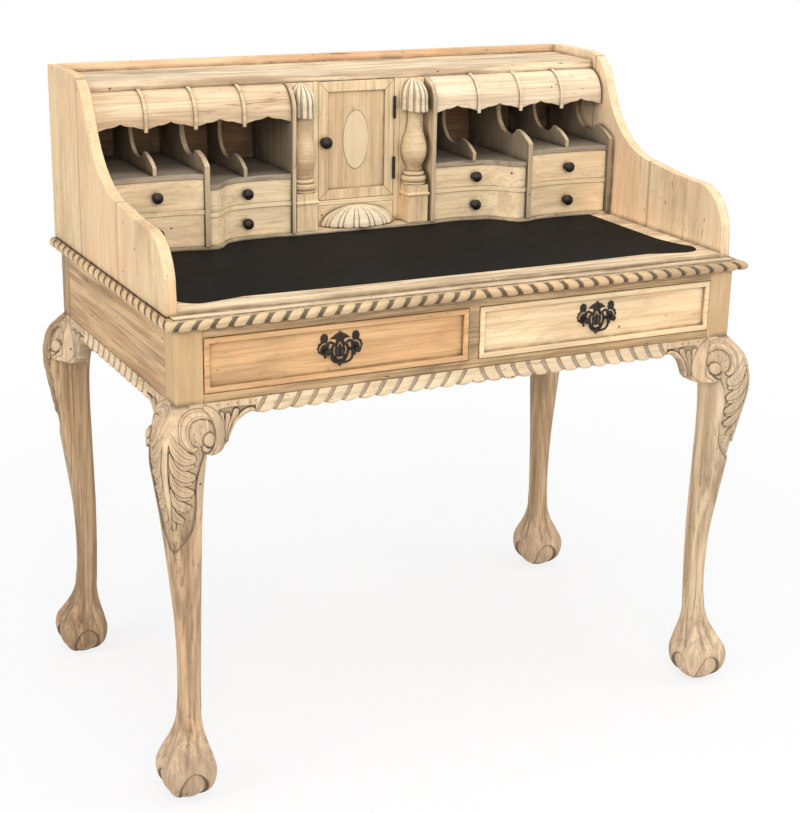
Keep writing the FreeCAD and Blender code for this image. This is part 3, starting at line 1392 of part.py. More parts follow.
def make_hinges(door_half):
    """Two butt hinges; the outer knuckles and pin stay with the jamb, the middle one swings."""
    axis_x = between(door_half, s.jamb_inner)
    axis_y = s.jamb_front - s.hinge_radius - s.hinge_knuckle_gap
    leaf_y = (s.jamb_front + s.hinge_knuckle_gap / 2, s.jamb_front + s.hinge_leaf_width)
    tab_y = (axis_y + s.hinge_radius * 0.65, leaf_y[0])
    jamb_leaf_x = (s.jamb_inner, s.jamb_inner + s.hinge_leaf)
    door_leaf_x = (door_half - s.hinge_leaf, door_half)
    half = s.hinge_length / 2
    middle_half = s.hinge_length / 6
    fixed = []
    moving = []
    for number, z in enumerate(hinge_middles, start=1):
        whole = (z - half, z + half)
        clear = middle_half + s.hinge_knuckle_gap
        ends = ((z - half, z - clear), (z + clear, z + half))
        centre = (z - middle_half, z + middle_half)
        pieces = [board(f"JambLeaf{number}", jamb_leaf_x, leaf_y, whole),
                  rod(f"Pin{number}", axis_x, axis_y, s.hinge_pin_radius, whole)]
        for place, span in enumerate(ends, start=1):
            pieces.append(rod(f"JambKnuckle{number}{place}", axis_x, axis_y, s.hinge_radius, span))
            pieces.append(board(f"JambTab{number}{place}", jamb_leaf_x, tab_y, span))
        fixed.append(fuse(f"JambHinge{number}", pieces))
        plate = fuse(f"DoorLeafBlank{number}", [
            board(f"DoorLeaf{number}", door_leaf_x, leaf_y, whole),
            board(f"DoorTab{number}", door_leaf_x, tab_y, centre),
            rod(f"DoorKnuckle{number}", axis_x, axis_y, s.hinge_radius, centre),
        ])
        bore = rod(f"Bore{number}", axis_x, axis_y, s.hinge_pin_radius + s.hinge_bore_gap, whole)
        moving.append(combine("Part::Cut", f"DoorHinge{number}", plate, bore))
    node("hinge_jamb_leaves", group("hinge_jamb_leaves", fixed))
    node("hinge_door_leaves", group("hinge_door_leaves", moving))


def main():
    leg = make_legs()
    make_knee_brackets(leg)
    make_frieze()
    make_runners()
    make_apron()
    make_rope()
    make_top()
    make_carcass()
    make_uprights()
    make_shelves()
    make_canopy()
    make_frieze_drawer()
    make_handle()
    make_small_drawers()
    make_shell_drawer()
    make_document_slide()
    make_door()
    doc.recompute()


def write_nodes():
    """Check every object, then write each piece to its own file."""
    for thing in doc.Objects:
        if {"Invalid", "Error"} & set(thing.State):
            raise RuntimeError(f"{thing.Name} ({thing.Label}) did not compute: {thing.State}")
    os.makedirs("parts", exist_ok=True)
    for thing in nodes:
        if thing.Shape.isNull() or not thing.Shape.isValid() or not thing.Shape.Solids:
            raise RuntimeError(f"{thing.Label} has no valid shape")
        thing.Shape.exportStep(f"parts/{thing.Label}.step")
        print(thing.Label, len(thing.Shape.Solids), round(thing.Shape.Volume / 1000, 1))


main()
write_nodes()
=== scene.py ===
# %% [markdown]
# A bonheur du jour, dressed for its portrait
#
# This lesson takes the plain boards of a small writing desk and gives them what a joiner and a
# carver would: stripped pine grain, grime in the corners, rope and acanthus carving, black leather
# and dark iron. Painted shade darkens the corners and cuts along with the grime, and painted
# highlights pale the edges. The boards come in already placed and hinged, so the first cell only
# loads them.

# %% Load the joinery
import math

import bmesh
import bpy
import numpy as np
from mathutils import Matrix, Vector


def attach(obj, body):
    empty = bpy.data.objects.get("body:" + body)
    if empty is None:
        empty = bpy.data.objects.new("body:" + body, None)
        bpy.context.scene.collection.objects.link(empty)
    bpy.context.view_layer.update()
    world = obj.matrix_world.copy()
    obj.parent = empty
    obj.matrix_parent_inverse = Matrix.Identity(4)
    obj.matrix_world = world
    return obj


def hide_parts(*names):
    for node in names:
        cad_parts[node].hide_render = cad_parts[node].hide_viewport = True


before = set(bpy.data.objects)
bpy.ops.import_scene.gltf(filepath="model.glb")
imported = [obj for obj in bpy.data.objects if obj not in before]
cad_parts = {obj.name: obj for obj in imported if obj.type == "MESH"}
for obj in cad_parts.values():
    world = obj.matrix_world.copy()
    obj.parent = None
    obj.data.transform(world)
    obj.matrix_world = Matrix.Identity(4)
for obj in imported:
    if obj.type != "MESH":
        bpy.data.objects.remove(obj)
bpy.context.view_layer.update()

# %% [markdown]
# Where the viewer stands
#
# The desk is seen from its front left, from just above head height, a little over two metres away
# from its nearest corner. A camera could be aimed with a constraint, but a constraint hides the
# roll of a hand-held shot. Here the view is written as yaw, pitch and roll and turned into a matrix.

# %% The viewpoint
VIEW_PLACE = Vector((-1.2696, -2.5329, 1.4210))
VIEW_YAW, VIEW_PITCH, VIEW_ROLL = (math.radians(a) for a in (26.945, 18.294, 1.136))
IMAGE_WIDE = 800.0
FOCAL_PIXELS = 1735.11
SENSOR_WIDE = 36.0
FAR_CLIP = 60.0


def put(name, data):
    """A new object in the scene."""
    made = bpy.data.objects.new(name, data)
    bpy.context.scene.collection.objects.link(made)
    return made


def view_matrix(place, yaw, pitch, roll):
    """World matrix of a camera that looks along yaw and down by pitch, turned by roll."""
    ahead = Vector((math.sin(yaw) * math.cos(pitch), math.cos(yaw) * math.cos(pitch), -math.sin(pitch)))
    across = Vector((math.cos(yaw), -math.sin(yaw), 0.0))
    upward = across.cross(ahead)
    right = across * math.cos(roll) + upward * math.sin(roll)
    top = upward * math.cos(roll) - across * math.sin(roll)
    turned = Matrix((right, top, -ahead)).transposed().to_4x4()
    return Matrix.Translation(place) @ turned


lens = bpy.data.cameras.new("viewer")
lens.sensor_fit = "HORIZONTAL"
lens.sensor_width = SENSOR_WIDE
lens.lens = SENSOR_WIDE * (FOCAL_PIXELS / IMAGE_WIDE)
lens.clip_end = FAR_CLIP
viewer = put("viewer", lens)
viewer.matrix_world = view_matrix(VIEW_PLACE, VIEW_YAW, VIEW_PITCH, VIEW_ROLL)
bpy.context.scene.camera = viewer
print("lens:", round(lens.lens, 2), "mm")

# %% [markdown]
# Writing node trees in few lines
#
# Every finish below is a tree of shader nodes. Adding each node by hand takes five lines, so small
# helpers add a node, wire it and do arithmetic on it. They return sockets, which lets one call sit
# inside another, as in ordinary sums.

# %% Helpers for node trees


class Tree:
    """A node tree that is written as nested calls; each call returns an output socket."""

    def __init__(self, tree):
        self.tree = tree

    def node(self, kind, inputs=(), **settings):
        made = self.tree.nodes.new(kind)
        for name, value in settings.items():
            setattr(made, name, value)
        for name, value in dict(inputs).items():
            self.feed(made.inputs[name], value)
        return made

    def add(self, kind, inputs=(), out=0, **settings):
        return self.node(kind, inputs, **settings).outputs[out]

    def feed(self, socket, value):
        if isinstance(value, bpy.types.NodeSocket):
            self.tree.links.new(value, socket)
        else:
            socket.default_value = value

    def sum(self, operation, *values, clamp=False):
        return self.add("ShaderNodeMath", enumerate(values), operation=operation, use_clamp=clamp)

    def times(self, first, second, clamp=False):
        return self.sum("MULTIPLY", first, second, clamp=clamp)

    def vector(self, operation, *values, out=0):
        return self.add("ShaderNodeVectorMath", enumerate(values), out, operation=operation)

    def part(self, vector, index):
        """One part of a vector: 0 across, 1 deep, 2 up."""
        return self.add("ShaderNodeSeparateXYZ", {0: vector}, index)

    def whole(self, *parts):
        return self.add("ShaderNodeCombineXYZ", enumerate(parts))

    def between(self, value, low, high, start=0.0, end=1.0):
        """value from low..high to start..end, smooth at both ends."""
        names = ("Value", "From Min", "From Max", "To Min", "To Max")
        inputs = zip(names, (value, low, high, start, end))
        return self.add("ShaderNodeMapRange", inputs, interpolation_type="SMOOTHSTEP")

    def mix(self, share, first, second, kind="RGBA"):
        """Mix of two colours, or of two vectors with kind VECTOR."""
        start, out = (6, 2) if kind == "RGBA" else (4, 1)
        return self.add("ShaderNodeMix", {0: share, start: first, start + 1: second}, out, data_type=kind)

    def tint(self, color, shade, mask, share):
        """color drawn towards shade by a mask, by no more than share."""
        return self.mix(self.times(mask, share), color, shade)

    def noise(self, vector, scale, detail=4.0, roughness=0.55, distortion=0.0):
        names = ("Vector", "Scale", "Detail", "Roughness", "Distortion")
        return self.add("ShaderNodeTexNoise", zip(names, (vector, scale, detail, roughness, distortion)))


def new_group(name, takes, gives):
    """An empty shader group with named sockets; returns its Tree, its inputs and its output node."""
    group = bpy.data.node_groups.new(name, "ShaderNodeTree")
    kinds = {"c": "NodeSocketColor", "v": "NodeSocketVector", "f": "NodeSocketFloat"}
    for label, kind, value in takes:
        socket = group.interface.new_socket(label, in_out="INPUT", socket_type=kinds[kind])
        if value is not None:
            socket.default_value = value
    for label, kind in gives:
        group.interface.new_socket(label, in_out="OUTPUT", socket_type=kinds[kind])
    tree = Tree(group)
    take = {socket.name: socket for socket in group.nodes.new("NodeGroupInput").outputs if socket.name}
    print("group:", name)
    return tree, take, group.nodes.new("NodeGroupOutput")


def place_group(tree, name, **inputs):
    """Put a group in a material; returns its outputs by name."""
    made = tree.tree.nodes.new("ShaderNodeGroup")
    made.node_tree = bpy.data.node_groups[name]
    for label, value in inputs.items():
        tree.feed(made.inputs[label], value)
    return made.outputs


def new_material(name):
    """A material, its Tree, its shader node and the place on the object in metres."""
    material = bpy.data.materials.new(name)
    material.use_nodes = True
    tree = Tree(material.node_tree)
    return material, tree, tree.tree.nodes["Principled BSDF"], tree.add("ShaderNodeTexCoord", (), 3)


def bumped(tree, strength, distance, height, **normal):
    """A normal bumped by height; distance is what a height of 1 stands for, in metres."""
    inputs = {"Strength": strength, "Distance": distance, "Height": height, **normal}
    return tree.add("ShaderNodeBump", inputs)


def set_surface(tree, shader, color, roughness, normal, specular):
    for label, value in (("Base Color", color), ("Roughness", roughness), ("Normal", normal)):
        tree.feed(shader.inputs[label], value)
    shader.inputs["Specular IOR Level"].default_value = specular


print("helpers ready")

# %% [markdown]
# The lay of the grain
#
# Grain runs along a board, so a rail needs it level and a post needs it upright. Mapping each board
# by hand would take a node per board. This group looks which way a face points instead: on a face
# that looks sideways a level board runs front to back, and elsewhere it runs left to right. Its
# first coordinate always follows the grain.

# %% Group: lay of the grain
SIDEWAYS = 0.7
SEED_SHIFT = (3.1, 7.7, 5.3)
tree, take, give = new_group("lay of the grain",
                             [("Vector", "v", None), ("Facing", "v", None), ("Upright", "f", 0.0),
                              ("Seed", "f", 0.0)],
                             [("Vector", "v")])
x, y, z = (tree.part(take["Vector"], index) for index in range(3))
sideways = tree.sum("GREATER_THAN", tree.sum("ABSOLUTE", tree.part(take["Facing"], 0)), SIDEWAYS)
level = tree.mix(sideways, tree.whole(x, z, y), tree.whole(y, z, x), "VECTOR")
lay = tree.mix(take["Upright"], level, tree.whole(z, x, y), "VECTOR")
shift = tree.whole(*(tree.times(take["Seed"], share) for share in SEED_SHIFT))
tree.feed(give.inputs["Vector"], tree.vector("ADD", lay, shift))

# %% [markdown]
# Stripped timber
#
# The desk has been stripped and limed: pale straw wood with grey-brown streaks, pinkish patches
# where the old stain stayed, and fine dark pores. A wave texture draws grain quickly but repeats.
# Noise stretched along the grain, with rings taken as the contour lines of a broader noise, reads
# as sawn timber from near and far.

# %% Group: stripped timber
OLD_STAIN = (0.145, 0.100, 0.062, 1)
RING_COUNT = 62.0
PORE_HEIGHT = -0.4
MARKS = {  # marks per metre along and across, scale, detail, roughness, lowest and highest noise, twist
    "streak": (1.6, 30.0, 2.2, 6.0, 0.62, 0.42, 0.66, 0.3),
    "fibre": (5.0, 210.0, 1.0, 4.0, 0.70, 0.47, 0.66, 0.0),
    "dirt": (5.0, 46.0, 1.0, 7.0, 0.74, 0.585, 0.70, 0.2),
    "speck": (55.0, 250.0, 1.0, 3.0, 0.60, 0.665, 0.725, 0.0),
    "patch": (2.4, 9.0, 1.5, 3.0, 0.60, 0.44, 0.62, 0.0),
    "smear": (3.0, 7.0, 1.3, 5.0, 0.65, 0.50, 0.74, 0.0),
}
FIGURE_SHARES = (("rings", 0.40), ("streak", 0.70), ("fibre", 0.85))
DIRT_SHARES = (("smear", 0.42), ("dirt", 0.85), ("speck", 0.95))
tree, take, give = new_group(
    "stripped timber",
    [("Vector", "v", None), ("Pale", "c", (0.7, 0.53, 0.34, 1)), ("Dark", "c", (0.4, 0.27, 0.16, 1)),
     ("Warm", "c", (0.75, 0.42, 0.22, 1)), ("Figure", "f", 0.5), ("Blotch", "f", 0.4), ("Dirt", "f", 0.5)],
    [("Color", "c"), ("Height", "f")])
mark = {}
for label, (length, width, scale, detail, roughness, low, high, twisted) in MARKS.items():
    drawn = tree.vector("MULTIPLY", take["Vector"], (length, width, width))
    mark[label] = tree.between(tree.noise(drawn, scale, detail, roughness, twisted), low, high)
broad = tree.noise(tree.vector("MULTIPLY", take["Vector"], (0.8, 6.0, 6.0)), 1.6, 2.0, 0.45, 0.9)
mark["rings"] = tree.between(tree.sum("SINE", tree.times(broad, RING_COUNT)), 0.1, 1.0)
color = tree.tint(take["Pale"], take["Warm"], mark["patch"], take["Blotch"])
for shares, amount, shade in ((FIGURE_SHARES, "Figure", take["Dark"]), (DIRT_SHARES, "Dirt", OLD_STAIN)):
    for label, share in shares:
        color = tree.tint(color, shade, mark[label], tree.times(take[amount], share))
pores = tree.sum("ADD", tree.sum("ADD", mark["fibre"], mark["streak"]),
                 tree.sum("ADD", mark["dirt"], mark["speck"]))
tree.feed(give.inputs["Color"], color)
tree.feed(give.inputs["Height"], tree.times(pores, PORE_HEIGHT))

# %% [markdown]
# Grime with painted shade, wear with painted highlights, and old holes
#
# Stain survives stripping where a scraper can't reach: in corners and round mouldings. Ambient
# occlusion finds those places, and the darkening it gives is painted shade as well as grime. The
# opposite is a worn arris, found by comparing the true normal with one that a bevel would give; it
# is made paler, as wear and as a painted highlight. Last come nail holes and worm holes, which are
# the hearts of a few cells of a Voronoi texture.

# %% Groups: grime and painted shade, worn edge and painted highlight, old holes
ARRIS = 0.0016
FLAT_TURN, EDGE_TURN = 0.985, 0.80
HOLE_CORE, HOLE_RIM = 0.045, 0.085
tree, take, give = new_group("grime_and_shade", [("Vector", "v", None), ("Reach", "f", 0.012), ("Amount", "f", 1.0),
                                        ("Shut", "f", 0.38), ("Open", "f", 0.94)],
                             [("Mask", "f")])
# Mask for grime and painted shade: ambient occlusion finds corners, joints and recesses.
open_sky = tree.add("ShaderNodeAmbientOcclusion", {"Distance": take["Reach"]}, 1, samples=8)
closed = tree.between(open_sky, take["Shut"], take["Open"], 1.0, 0.0)
uneven = tree.between(tree.noise(take["Vector"], 34.0, 4.0, 0.6), 0.30, 0.60, 0.55, 1.0)
tree.feed(give.inputs["Mask"], tree.times(tree.times(closed, uneven), take["Amount"], clamp=True))

tree, take, give = new_group("worn and highlit edge", [("Radius", "f", ARRIS)], [("Mask", "f"), ("Normal", "v")])
# Edge mask for wear and a painted highlight: wherever a bevel would turn the normal.
rounded = tree.add("ShaderNodeBevel", {"Radius": take["Radius"]}, samples=4)
true_normal = tree.add("ShaderNodeNewGeometry", (), 3)
turn = tree.vector("DOT_PRODUCT", rounded, true_normal, out=1)
tree.feed(give.inputs["Mask"], tree.between(turn, EDGE_TURN, FLAT_TURN, 1.0, 0.0))
tree.feed(give.inputs["Normal"], rounded)

tree, take, give = new_group("old holes", [("Vector", "v", None), ("Spacing", "f", 30.0),
                                            ("Share", "f", 0.25)],
                             [("Mask", "f")])
cells = tree.node("ShaderNodeTexVoronoi", {"Vector": take["Vector"], "Scale": take["Spacing"]}).outputs
heart = tree.between(cells["Distance"], HOLE_CORE, HOLE_RIM, 1.0, 0.0)
chosen = tree.sum("LESS_THAN", tree.add("ShaderNodeSeparateColor", {0: cells["Color"]}), take["Share"])
tree.feed(give.inputs["Mask"], tree.times(heart, chosen))

# %% [markdown]
# Glued-up staves
#
# The tall side panels are glued up from upright staves that differ in tone, with a fine dark line
# at each joint. A one-dimensional Voronoi texture cuts the panel's depth into strips of uneven
# width and gives each its own random value, which a plain wave could not do.

# %% Group: staves
SEAM_CORE, SEAM_RIM = 0.006, 0.02
tree, take, give = new_group("staves", [("Place", "f", 0.0), ("Width", "f", 0.08)],
                             [("Tone", "f"), ("Seam", "f")])
strip_inputs = {"W": tree.sum("DIVIDE", take["Place"], take["Width"]), "Scale": 1.0, "Randomness": 0.7}
strips, seams = (tree.node("ShaderNodeTexVoronoi", strip_inputs, voronoi_dimensions="1D", feature=feature)
                 for feature in ("F1", "DISTANCE_TO_EDGE"))
tree.feed(give.inputs["Tone"], tree.add("ShaderNodeSeparateColor", {0: strips.outputs["Color"]}))
tree.feed(give.inputs["Seam"], tree.between(seams.outputs["Distance"], SEAM_CORE, SEAM_RIM, 1.0, 0.0))

# %% [markdown]
# One recipe for all the woods
#
# Each wood on the desk is the same recipe with other values: where the grain runs, how pale, how
# streaky, and how much grime and painted shade it takes. Building them in one function keeps them
# related, as boards from one workshop are. Carved pieces carry a value on every point, which is 1
# in the bottom of a cut and 0 on top, and the recipe darkens by it: dirt and painted shade in the
# cuts.

# %% Recipe for wood
# The first colour darkens dirt, holes and joints, and paints shade in corners and cuts; SHADE and DUSK paint
# the shade inside the pigeonholes.
GRIME_AND_SHADE = (0.050, 0.032, 0.019, 1)
SHADE = (0.030, 0.021, 0.014, 1)
DUSK = (0.105, 0.085, 0.066, 1)
SCREEN_SPAN = (0.1300, 0.1325)
WOOD_BUMP, WOOD_DEPTH, HOLE_DEPTH = 0.3, 0.0006, 3.0
WOOD_SPECULAR = 0.30
PORE_ROUGH, FACE_ROUGH = 0.80, 0.58


def staved(tree, place, color, warm, width):
    """Staves across the depth of a panel, warm in some and parted by thin seams."""
    strip = place_group(tree, "staves", Place=tree.part(place, 1), Width=width)
    warmer = (*(channel * 1.05 for channel in warm), 1)
    color = tree.mix(tree.between(strip["Tone"], 0.2, 1.0, 0.0, 0.50), color, warmer)
    return tree.tint(color, GRIME_AND_SHADE, strip["Seam"], 0.40)


def shaded_inside(tree, place, facing, color, reach):
    """The dusk of the pigeonholes, which ends at the screens beside the cupboard."""
    forward = tree.sum("ABSOLUTE", tree.part(facing, 1))
    within = tree.between(tree.sum("ABSOLUTE", tree.part(place, 0)), *SCREEN_SPAN)
    color = tree.tint(color, DUSK, tree.between(forward, 0.15, 0.55, 0.66, 0.24), within)
    deep = place_group(tree, "grime_and_shade", Vector=place, Reach=reach, Shut=0.22, Open=0.70)["Mask"]
    return tree.tint(color, SHADE, tree.times(deep, 0.80), within)


def wood(name, pale, dark, warm, upright, figure, blotch, dirt, grime_and_shade=0.9, reach=0.012, staves=0.0,
         shade=0.0, marks=None):
    """A stripped wood; staves is the width of glued-up staves, shade the reach of a darkened inside."""
    material, tree, shader, place = new_material(name)
    facing = tree.add("ShaderNodeTexCoord", (), 1)
    seed = tree.add("ShaderNodeObjectInfo", (), 5)
    lay = place_group(tree, "lay of the grain", Vector=place, Facing=facing, Upright=upright, Seed=seed)
    timber = place_group(tree, "stripped timber", Vector=lay["Vector"], Pale=(*pale, 1), Dark=(*dark, 1),
                         Warm=(*warm, 1), Figure=figure, Blotch=blotch, Dirt=dirt)
    color = timber["Color"]
    if staves:
        color = staved(tree, place, color, warm, staves)
    if marks:
        color = marks(tree, place, color)
    edge = place_group(tree, "worn and highlit edge", Radius=ARRIS)
    # Paler edges: wear, and a painted highlight along every edge.
    color = tree.tint(color, (*(min(1, channel * 1.2) for channel in pale), 1), edge["Mask"], 0.40)
    if shade:
        color = shaded_inside(tree, place, facing, color, shade)
    # Grime and painted shade: ambient occlusion darkens corners and joints.
    close = place_group(tree, "grime_and_shade", Vector=place, Reach=reach, Amount=grime_and_shade)["Mask"]
    color = tree.tint(color, GRIME_AND_SHADE, close, 0.90)
    holes = place_group(tree, "old holes", Vector=place)["Mask"]
    color = tree.tint(color, GRIME_AND_SHADE, holes, 0.8)
    # Dirt and painted shade in carved cuts, by the value each point carries.
    stain_and_shade = tree.add("ShaderNodeAttribute", (), 2, attribute_name="stain_and_shade")
    color = tree.mix(tree.times(stain_and_shade, 0.95, clamp=True), color, GRIME_AND_SHADE)
    height = tree.sum("SUBTRACT", timber["Height"], tree.times(holes, HOLE_DEPTH))
    set_surface(tree, shader, color, tree.between(timber["Height"], -1.2, 0.0, PORE_ROUGH, FACE_ROUGH),
                bumped(tree, WOOD_BUMP, WOOD_DEPTH, height, Normal=edge["Normal"]), WOOD_SPECULAR)
    return material


print("wood recipe ready")

# %% [markdown]
# Marks that belong to one board
#
# Three kinds of board carry a mark in a place of its own: an oval let into the door, mitre lines at
# the corners of its frame, and feet, knees and posts that took the stripper differently. A mesh cut
# along each line would do it too, but these lie flush, so colour alone is true to them.

# %% Oval, mitres and leg tones
DOOR_UP = 0.9203
DOOR_HALF, DOOR_HIGH = 0.0706, 0.1004
OVAL_HALF, OVAL_HIGH = 0.0240, 0.0510
OVAL_COLOR = (0.95, 0.77, 0.50, 1)
LEG_TONES = (  # from and to height, share at each, colour: the foot, the knee, the post
    (0.07, 0.13, 0.22, 0.0, (0.86, 0.640, 0.470, 1)),
    (0.42, 0.50, 0.0, 0.36, (0.84, 0.650, 0.430, 1)),
    (0.626, 0.640, 0.0, 0.46, (0.52, 0.310, 0.105, 1)),
)


def from_door_middle(tree, place):
    """Distances across and up from the middle of the door, both without sign."""
    across = tree.sum("ABSOLUTE", tree.part(place, 0))
    return across, tree.sum("ABSOLUTE", tree.sum("SUBTRACT", tree.part(place, 2), DOOR_UP))


def oval_inlay(tree, place, color):
    """A paler oval let into the panel, with the glue line dark round it."""
    across, up = from_door_middle(tree, place)
    shares = tree.whole(tree.sum("DIVIDE", across, OVAL_HALF), tree.sum("DIVIDE", up, OVAL_HIGH), 0.0)
    gap = tree.vector("LENGTH", shares, out=1)
    color = tree.mix(tree.between(gap, 0.96, 1.0, 0.62, 0.0), color, OVAL_COLOR)
    ring = tree.between(tree.sum("ABSOLUTE", tree.sum("SUBTRACT", gap, 0.99)), 0.010, 0.040, 0.42, 0.0)
    return tree.mix(ring, color, GRIME_AND_SHADE)


def mitres(tree, place, color):
    """Dark mitre lines at the corners of the door frame."""
    across, up = from_door_middle(tree, place)
    gap = tree.sum("ABSOLUTE", tree.sum("SUBTRACT", tree.sum("SUBTRACT", across, DOOR_HALF),
                                        tree.sum("SUBTRACT", up, DOOR_HIGH)))
    return tree.mix(tree.between(gap, 0.0003, 0.0011, 0.75, 0.0), color, GRIME_AND_SHADE)


def leg_tones(tree, place, color):
    """Foot, knee and square top of a leg, which stripping left in tones of their own."""
    up = tree.part(place, 2)
    for low, high, start, end, tone in LEG_TONES:
        color = tree.mix(tree.between(up, low, high, start, end), color, tone)
    return color


print("marks ready")

# %% [markdown]
# The woods
#
# One line per wood: its pale, dark and warm colours, then 1 for upright grain, and how strong the
# figure, the warm patches and the dirt are. Woods of one family differ a little, because the
# stripper reached the boards unevenly. Some are copies painted paler or darker as painted light and
# shade: the front right leg, the right side panel and the nest's drawers are painted paler, the
# back left leg darker, and the pigeonhole shelves and the inner boards darker, partly as painted
# shade and partly in their own tone.

# %% Materials: woods
NEST = ((0.96, 0.745, 0.460), (0.50, 0.315, 0.165), (0.94, 0.625, 0.340))
WOODS = {
    "leg": ((0.65, 0.462, 0.268), (0.27, 0.170, 0.092), (0.62, 0.380, 0.222), 1.0, 0.95, 0.60, 1.0),
    # Painted light: the front right leg is a paler copy of the leg wood.
    "lit_leg": ((0.76, 0.580, 0.370), (0.33, 0.210, 0.120), (0.72, 0.465, 0.285), 1.0, 0.95, 0.60, 1.0),
    # Painted shade: the back left leg is a darker copy of the leg wood.
    "shaded_leg": ((0.53, 0.365, 0.205), (0.22, 0.135, 0.075), (0.50, 0.290, 0.155), 1.0, 0.95, 0.60, 1.0),
    "rail": ((0.62, 0.425, 0.220), (0.25, 0.155, 0.080), (0.58, 0.345, 0.165), 0.0, 0.95, 0.50, 1.2),
    "frieze": ((0.66, 0.440, 0.235), (0.30, 0.175, 0.085), (0.62, 0.350, 0.170), 0.0, 0.90, 0.60, 0.90),
    "drawer_left": ((0.78, 0.480, 0.235), (0.46, 0.250, 0.105), (0.80, 0.44, 0.20), 0.0, 0.65, 0.60, 0.70),
    "drawer_right": ((0.96, 0.750, 0.470), (0.56, 0.350, 0.175), (0.95, 0.63, 0.34), 0.0, 0.50, 0.50, 0.55),
    "panel": ((0.79, 0.590, 0.345), (0.40, 0.285, 0.165), (0.78, 0.475, 0.260), 1.0, 0.30, 0.60, 0.95),
    # Painted light: the right side panel is a paler copy of the left panel's wood.
    "pale_panel": ((0.92, 0.710, 0.455), (0.46, 0.310, 0.180), (0.90, 0.580, 0.340), 1.0, 0.34, 0.65, 0.95),
    # Painted light: the nest's drawers are a little paler than the NEST woods.
    "nest": ((1.0, 0.790, 0.500), (0.60, 0.395, 0.215), (1.0, 0.690, 0.395), 0.0, 0.45, 0.30, 0.42),
    "nest_upright": (*NEST, 1.0, 0.50, 0.40, 0.60),
    "slide": (*NEST, 1.0, 0.50, 0.40, 0.60),
    "canopy": ((0.80, 0.605, 0.385), (0.46, 0.295, 0.160), (0.76, 0.485, 0.285), 0.0, 0.75, 0.80, 0.85),
    "pale_canopy": ((0.97, 0.790, 0.560), (0.56, 0.400, 0.250), (0.92, 0.670, 0.440), 0.0, 0.75, 0.80, 0.85),
    "pigeonhole": ((0.80, 0.620, 0.390), (0.40, 0.27, 0.15), (0.70, 0.46, 0.25), 1.0, 0.50, 0.30, 0.70),
    # Partly painted shade: the pigeonhole shelves are a darker copy of the pigeonhole wood.
    "pigeonhole_level": ((0.58, 0.470, 0.335), (0.24, 0.17, 0.11), (0.52, 0.38, 0.25), 0.0, 0.60, 0.30, 1.0),
    "door_frame": (*NEST, 1.0, 0.50, 0.30, 0.65),
    "door_panel": ((0.86, 0.640, 0.385), (0.50, 0.310, 0.155), (0.86, 0.54, 0.28), 1.0, 0.45, 0.70, 0.45),
    "carved": ((0.84, 0.645, 0.395), (0.42, 0.275, 0.145), (0.78, 0.505, 0.270), 0.0, 0.40, 0.35, 0.55),
    "shell": ((0.88, 0.735, 0.515), (0.44, 0.310, 0.185), (0.82, 0.610, 0.395), 0.0, 0.35, 0.35, 0.55),
    "apron": ((0.84, 0.660, 0.430), (0.44, 0.295, 0.165), (0.80, 0.545, 0.330), 0.0, 0.45, 0.45, 0.90),
    "rope": ((0.70, 0.515, 0.300), (0.36, 0.230, 0.120), (0.66, 0.410, 0.215), 0.0, 0.45, 0.40, 0.85),
    # Dark partly in the boards' own tone and partly as painted shade, with the darkening in corners reaching
    # far.
    "inner": ((0.42, 0.235, 0.110), (0.17, 0.100, 0.050), (0.40, 0.195, 0.085), 0.0, 0.6, 0.5, 0.6),
    "gallery": ((0.94, 0.655, 0.400), (0.52, 0.310, 0.160), (0.95, 0.545, 0.30), 0.0, 0.60, 0.7, 0.9),
    "top": ((0.95, 0.765, 0.520), (0.42, 0.295, 0.175), (0.88, 0.63, 0.40), 0.0, 1.0, 0.4, 1.1),
}
EXTRAS = {
    "leg": {"marks": leg_tones}, "lit_leg": {"marks": leg_tones},
    "panel": {"staves": 0.190}, "pale_panel": {"staves": 0.190},
    "slide": {"grime_and_shade": 0.5, "reach": 0.004},
    "pigeonhole": {"shade": 0.085}, "pigeonhole_level": {"shade": 0.085},
    "door_frame": {"marks": mitres}, "door_panel": {"marks": oval_inlay},
    "carved": {"grime_and_shade": 1.0, "reach": 0.009}, "rope": {"grime_and_shade": 1.0, "reach": 0.009},
    "shell": {"grime_and_shade": 1.0, "reach": 0.008}, "apron": {"grime_and_shade": 1.0, "reach": 0.008},
    "inner": {"reach": 0.05},
}
finishes = {key: wood(f"{key}_wood", *values, **EXTRAS.get(key, {})) for key, values in WOODS.items()}
print("woods:", len(finishes))

# %% [markdown]
# Leather and iron
#
# The writing surface is lined with black hide, gone slightly brown in patches, with a fine pebbled
# grain that only shows in the sheen. The knobs, hinges and handles are blackened iron: nearly
# black, paler along the edges where hands have rubbed and as a painted highlight, with brown rust
# in the hollows.

# %% Materials: leather and iron
HIDE_BLACK = (0.0030, 0.0031, 0.0033, 1)
HIDE_BROWN = (0.0092, 0.0084, 0.0076, 1)
HIDE_SCUFF = (0.024, 0.021, 0.018, 1)
PEBBLES = 520.0
IRON_BLACK = (0.022, 0.018, 0.017, 1)
IRON_RUST = (0.056, 0.032, 0.021, 1)
# Paler edge colour: rubbed wear and a painted highlight.
IRON_RUBBED_AND_HIGHLIT = (0.13, 0.105, 0.085, 1)
IRON_METALLIC = 0.55


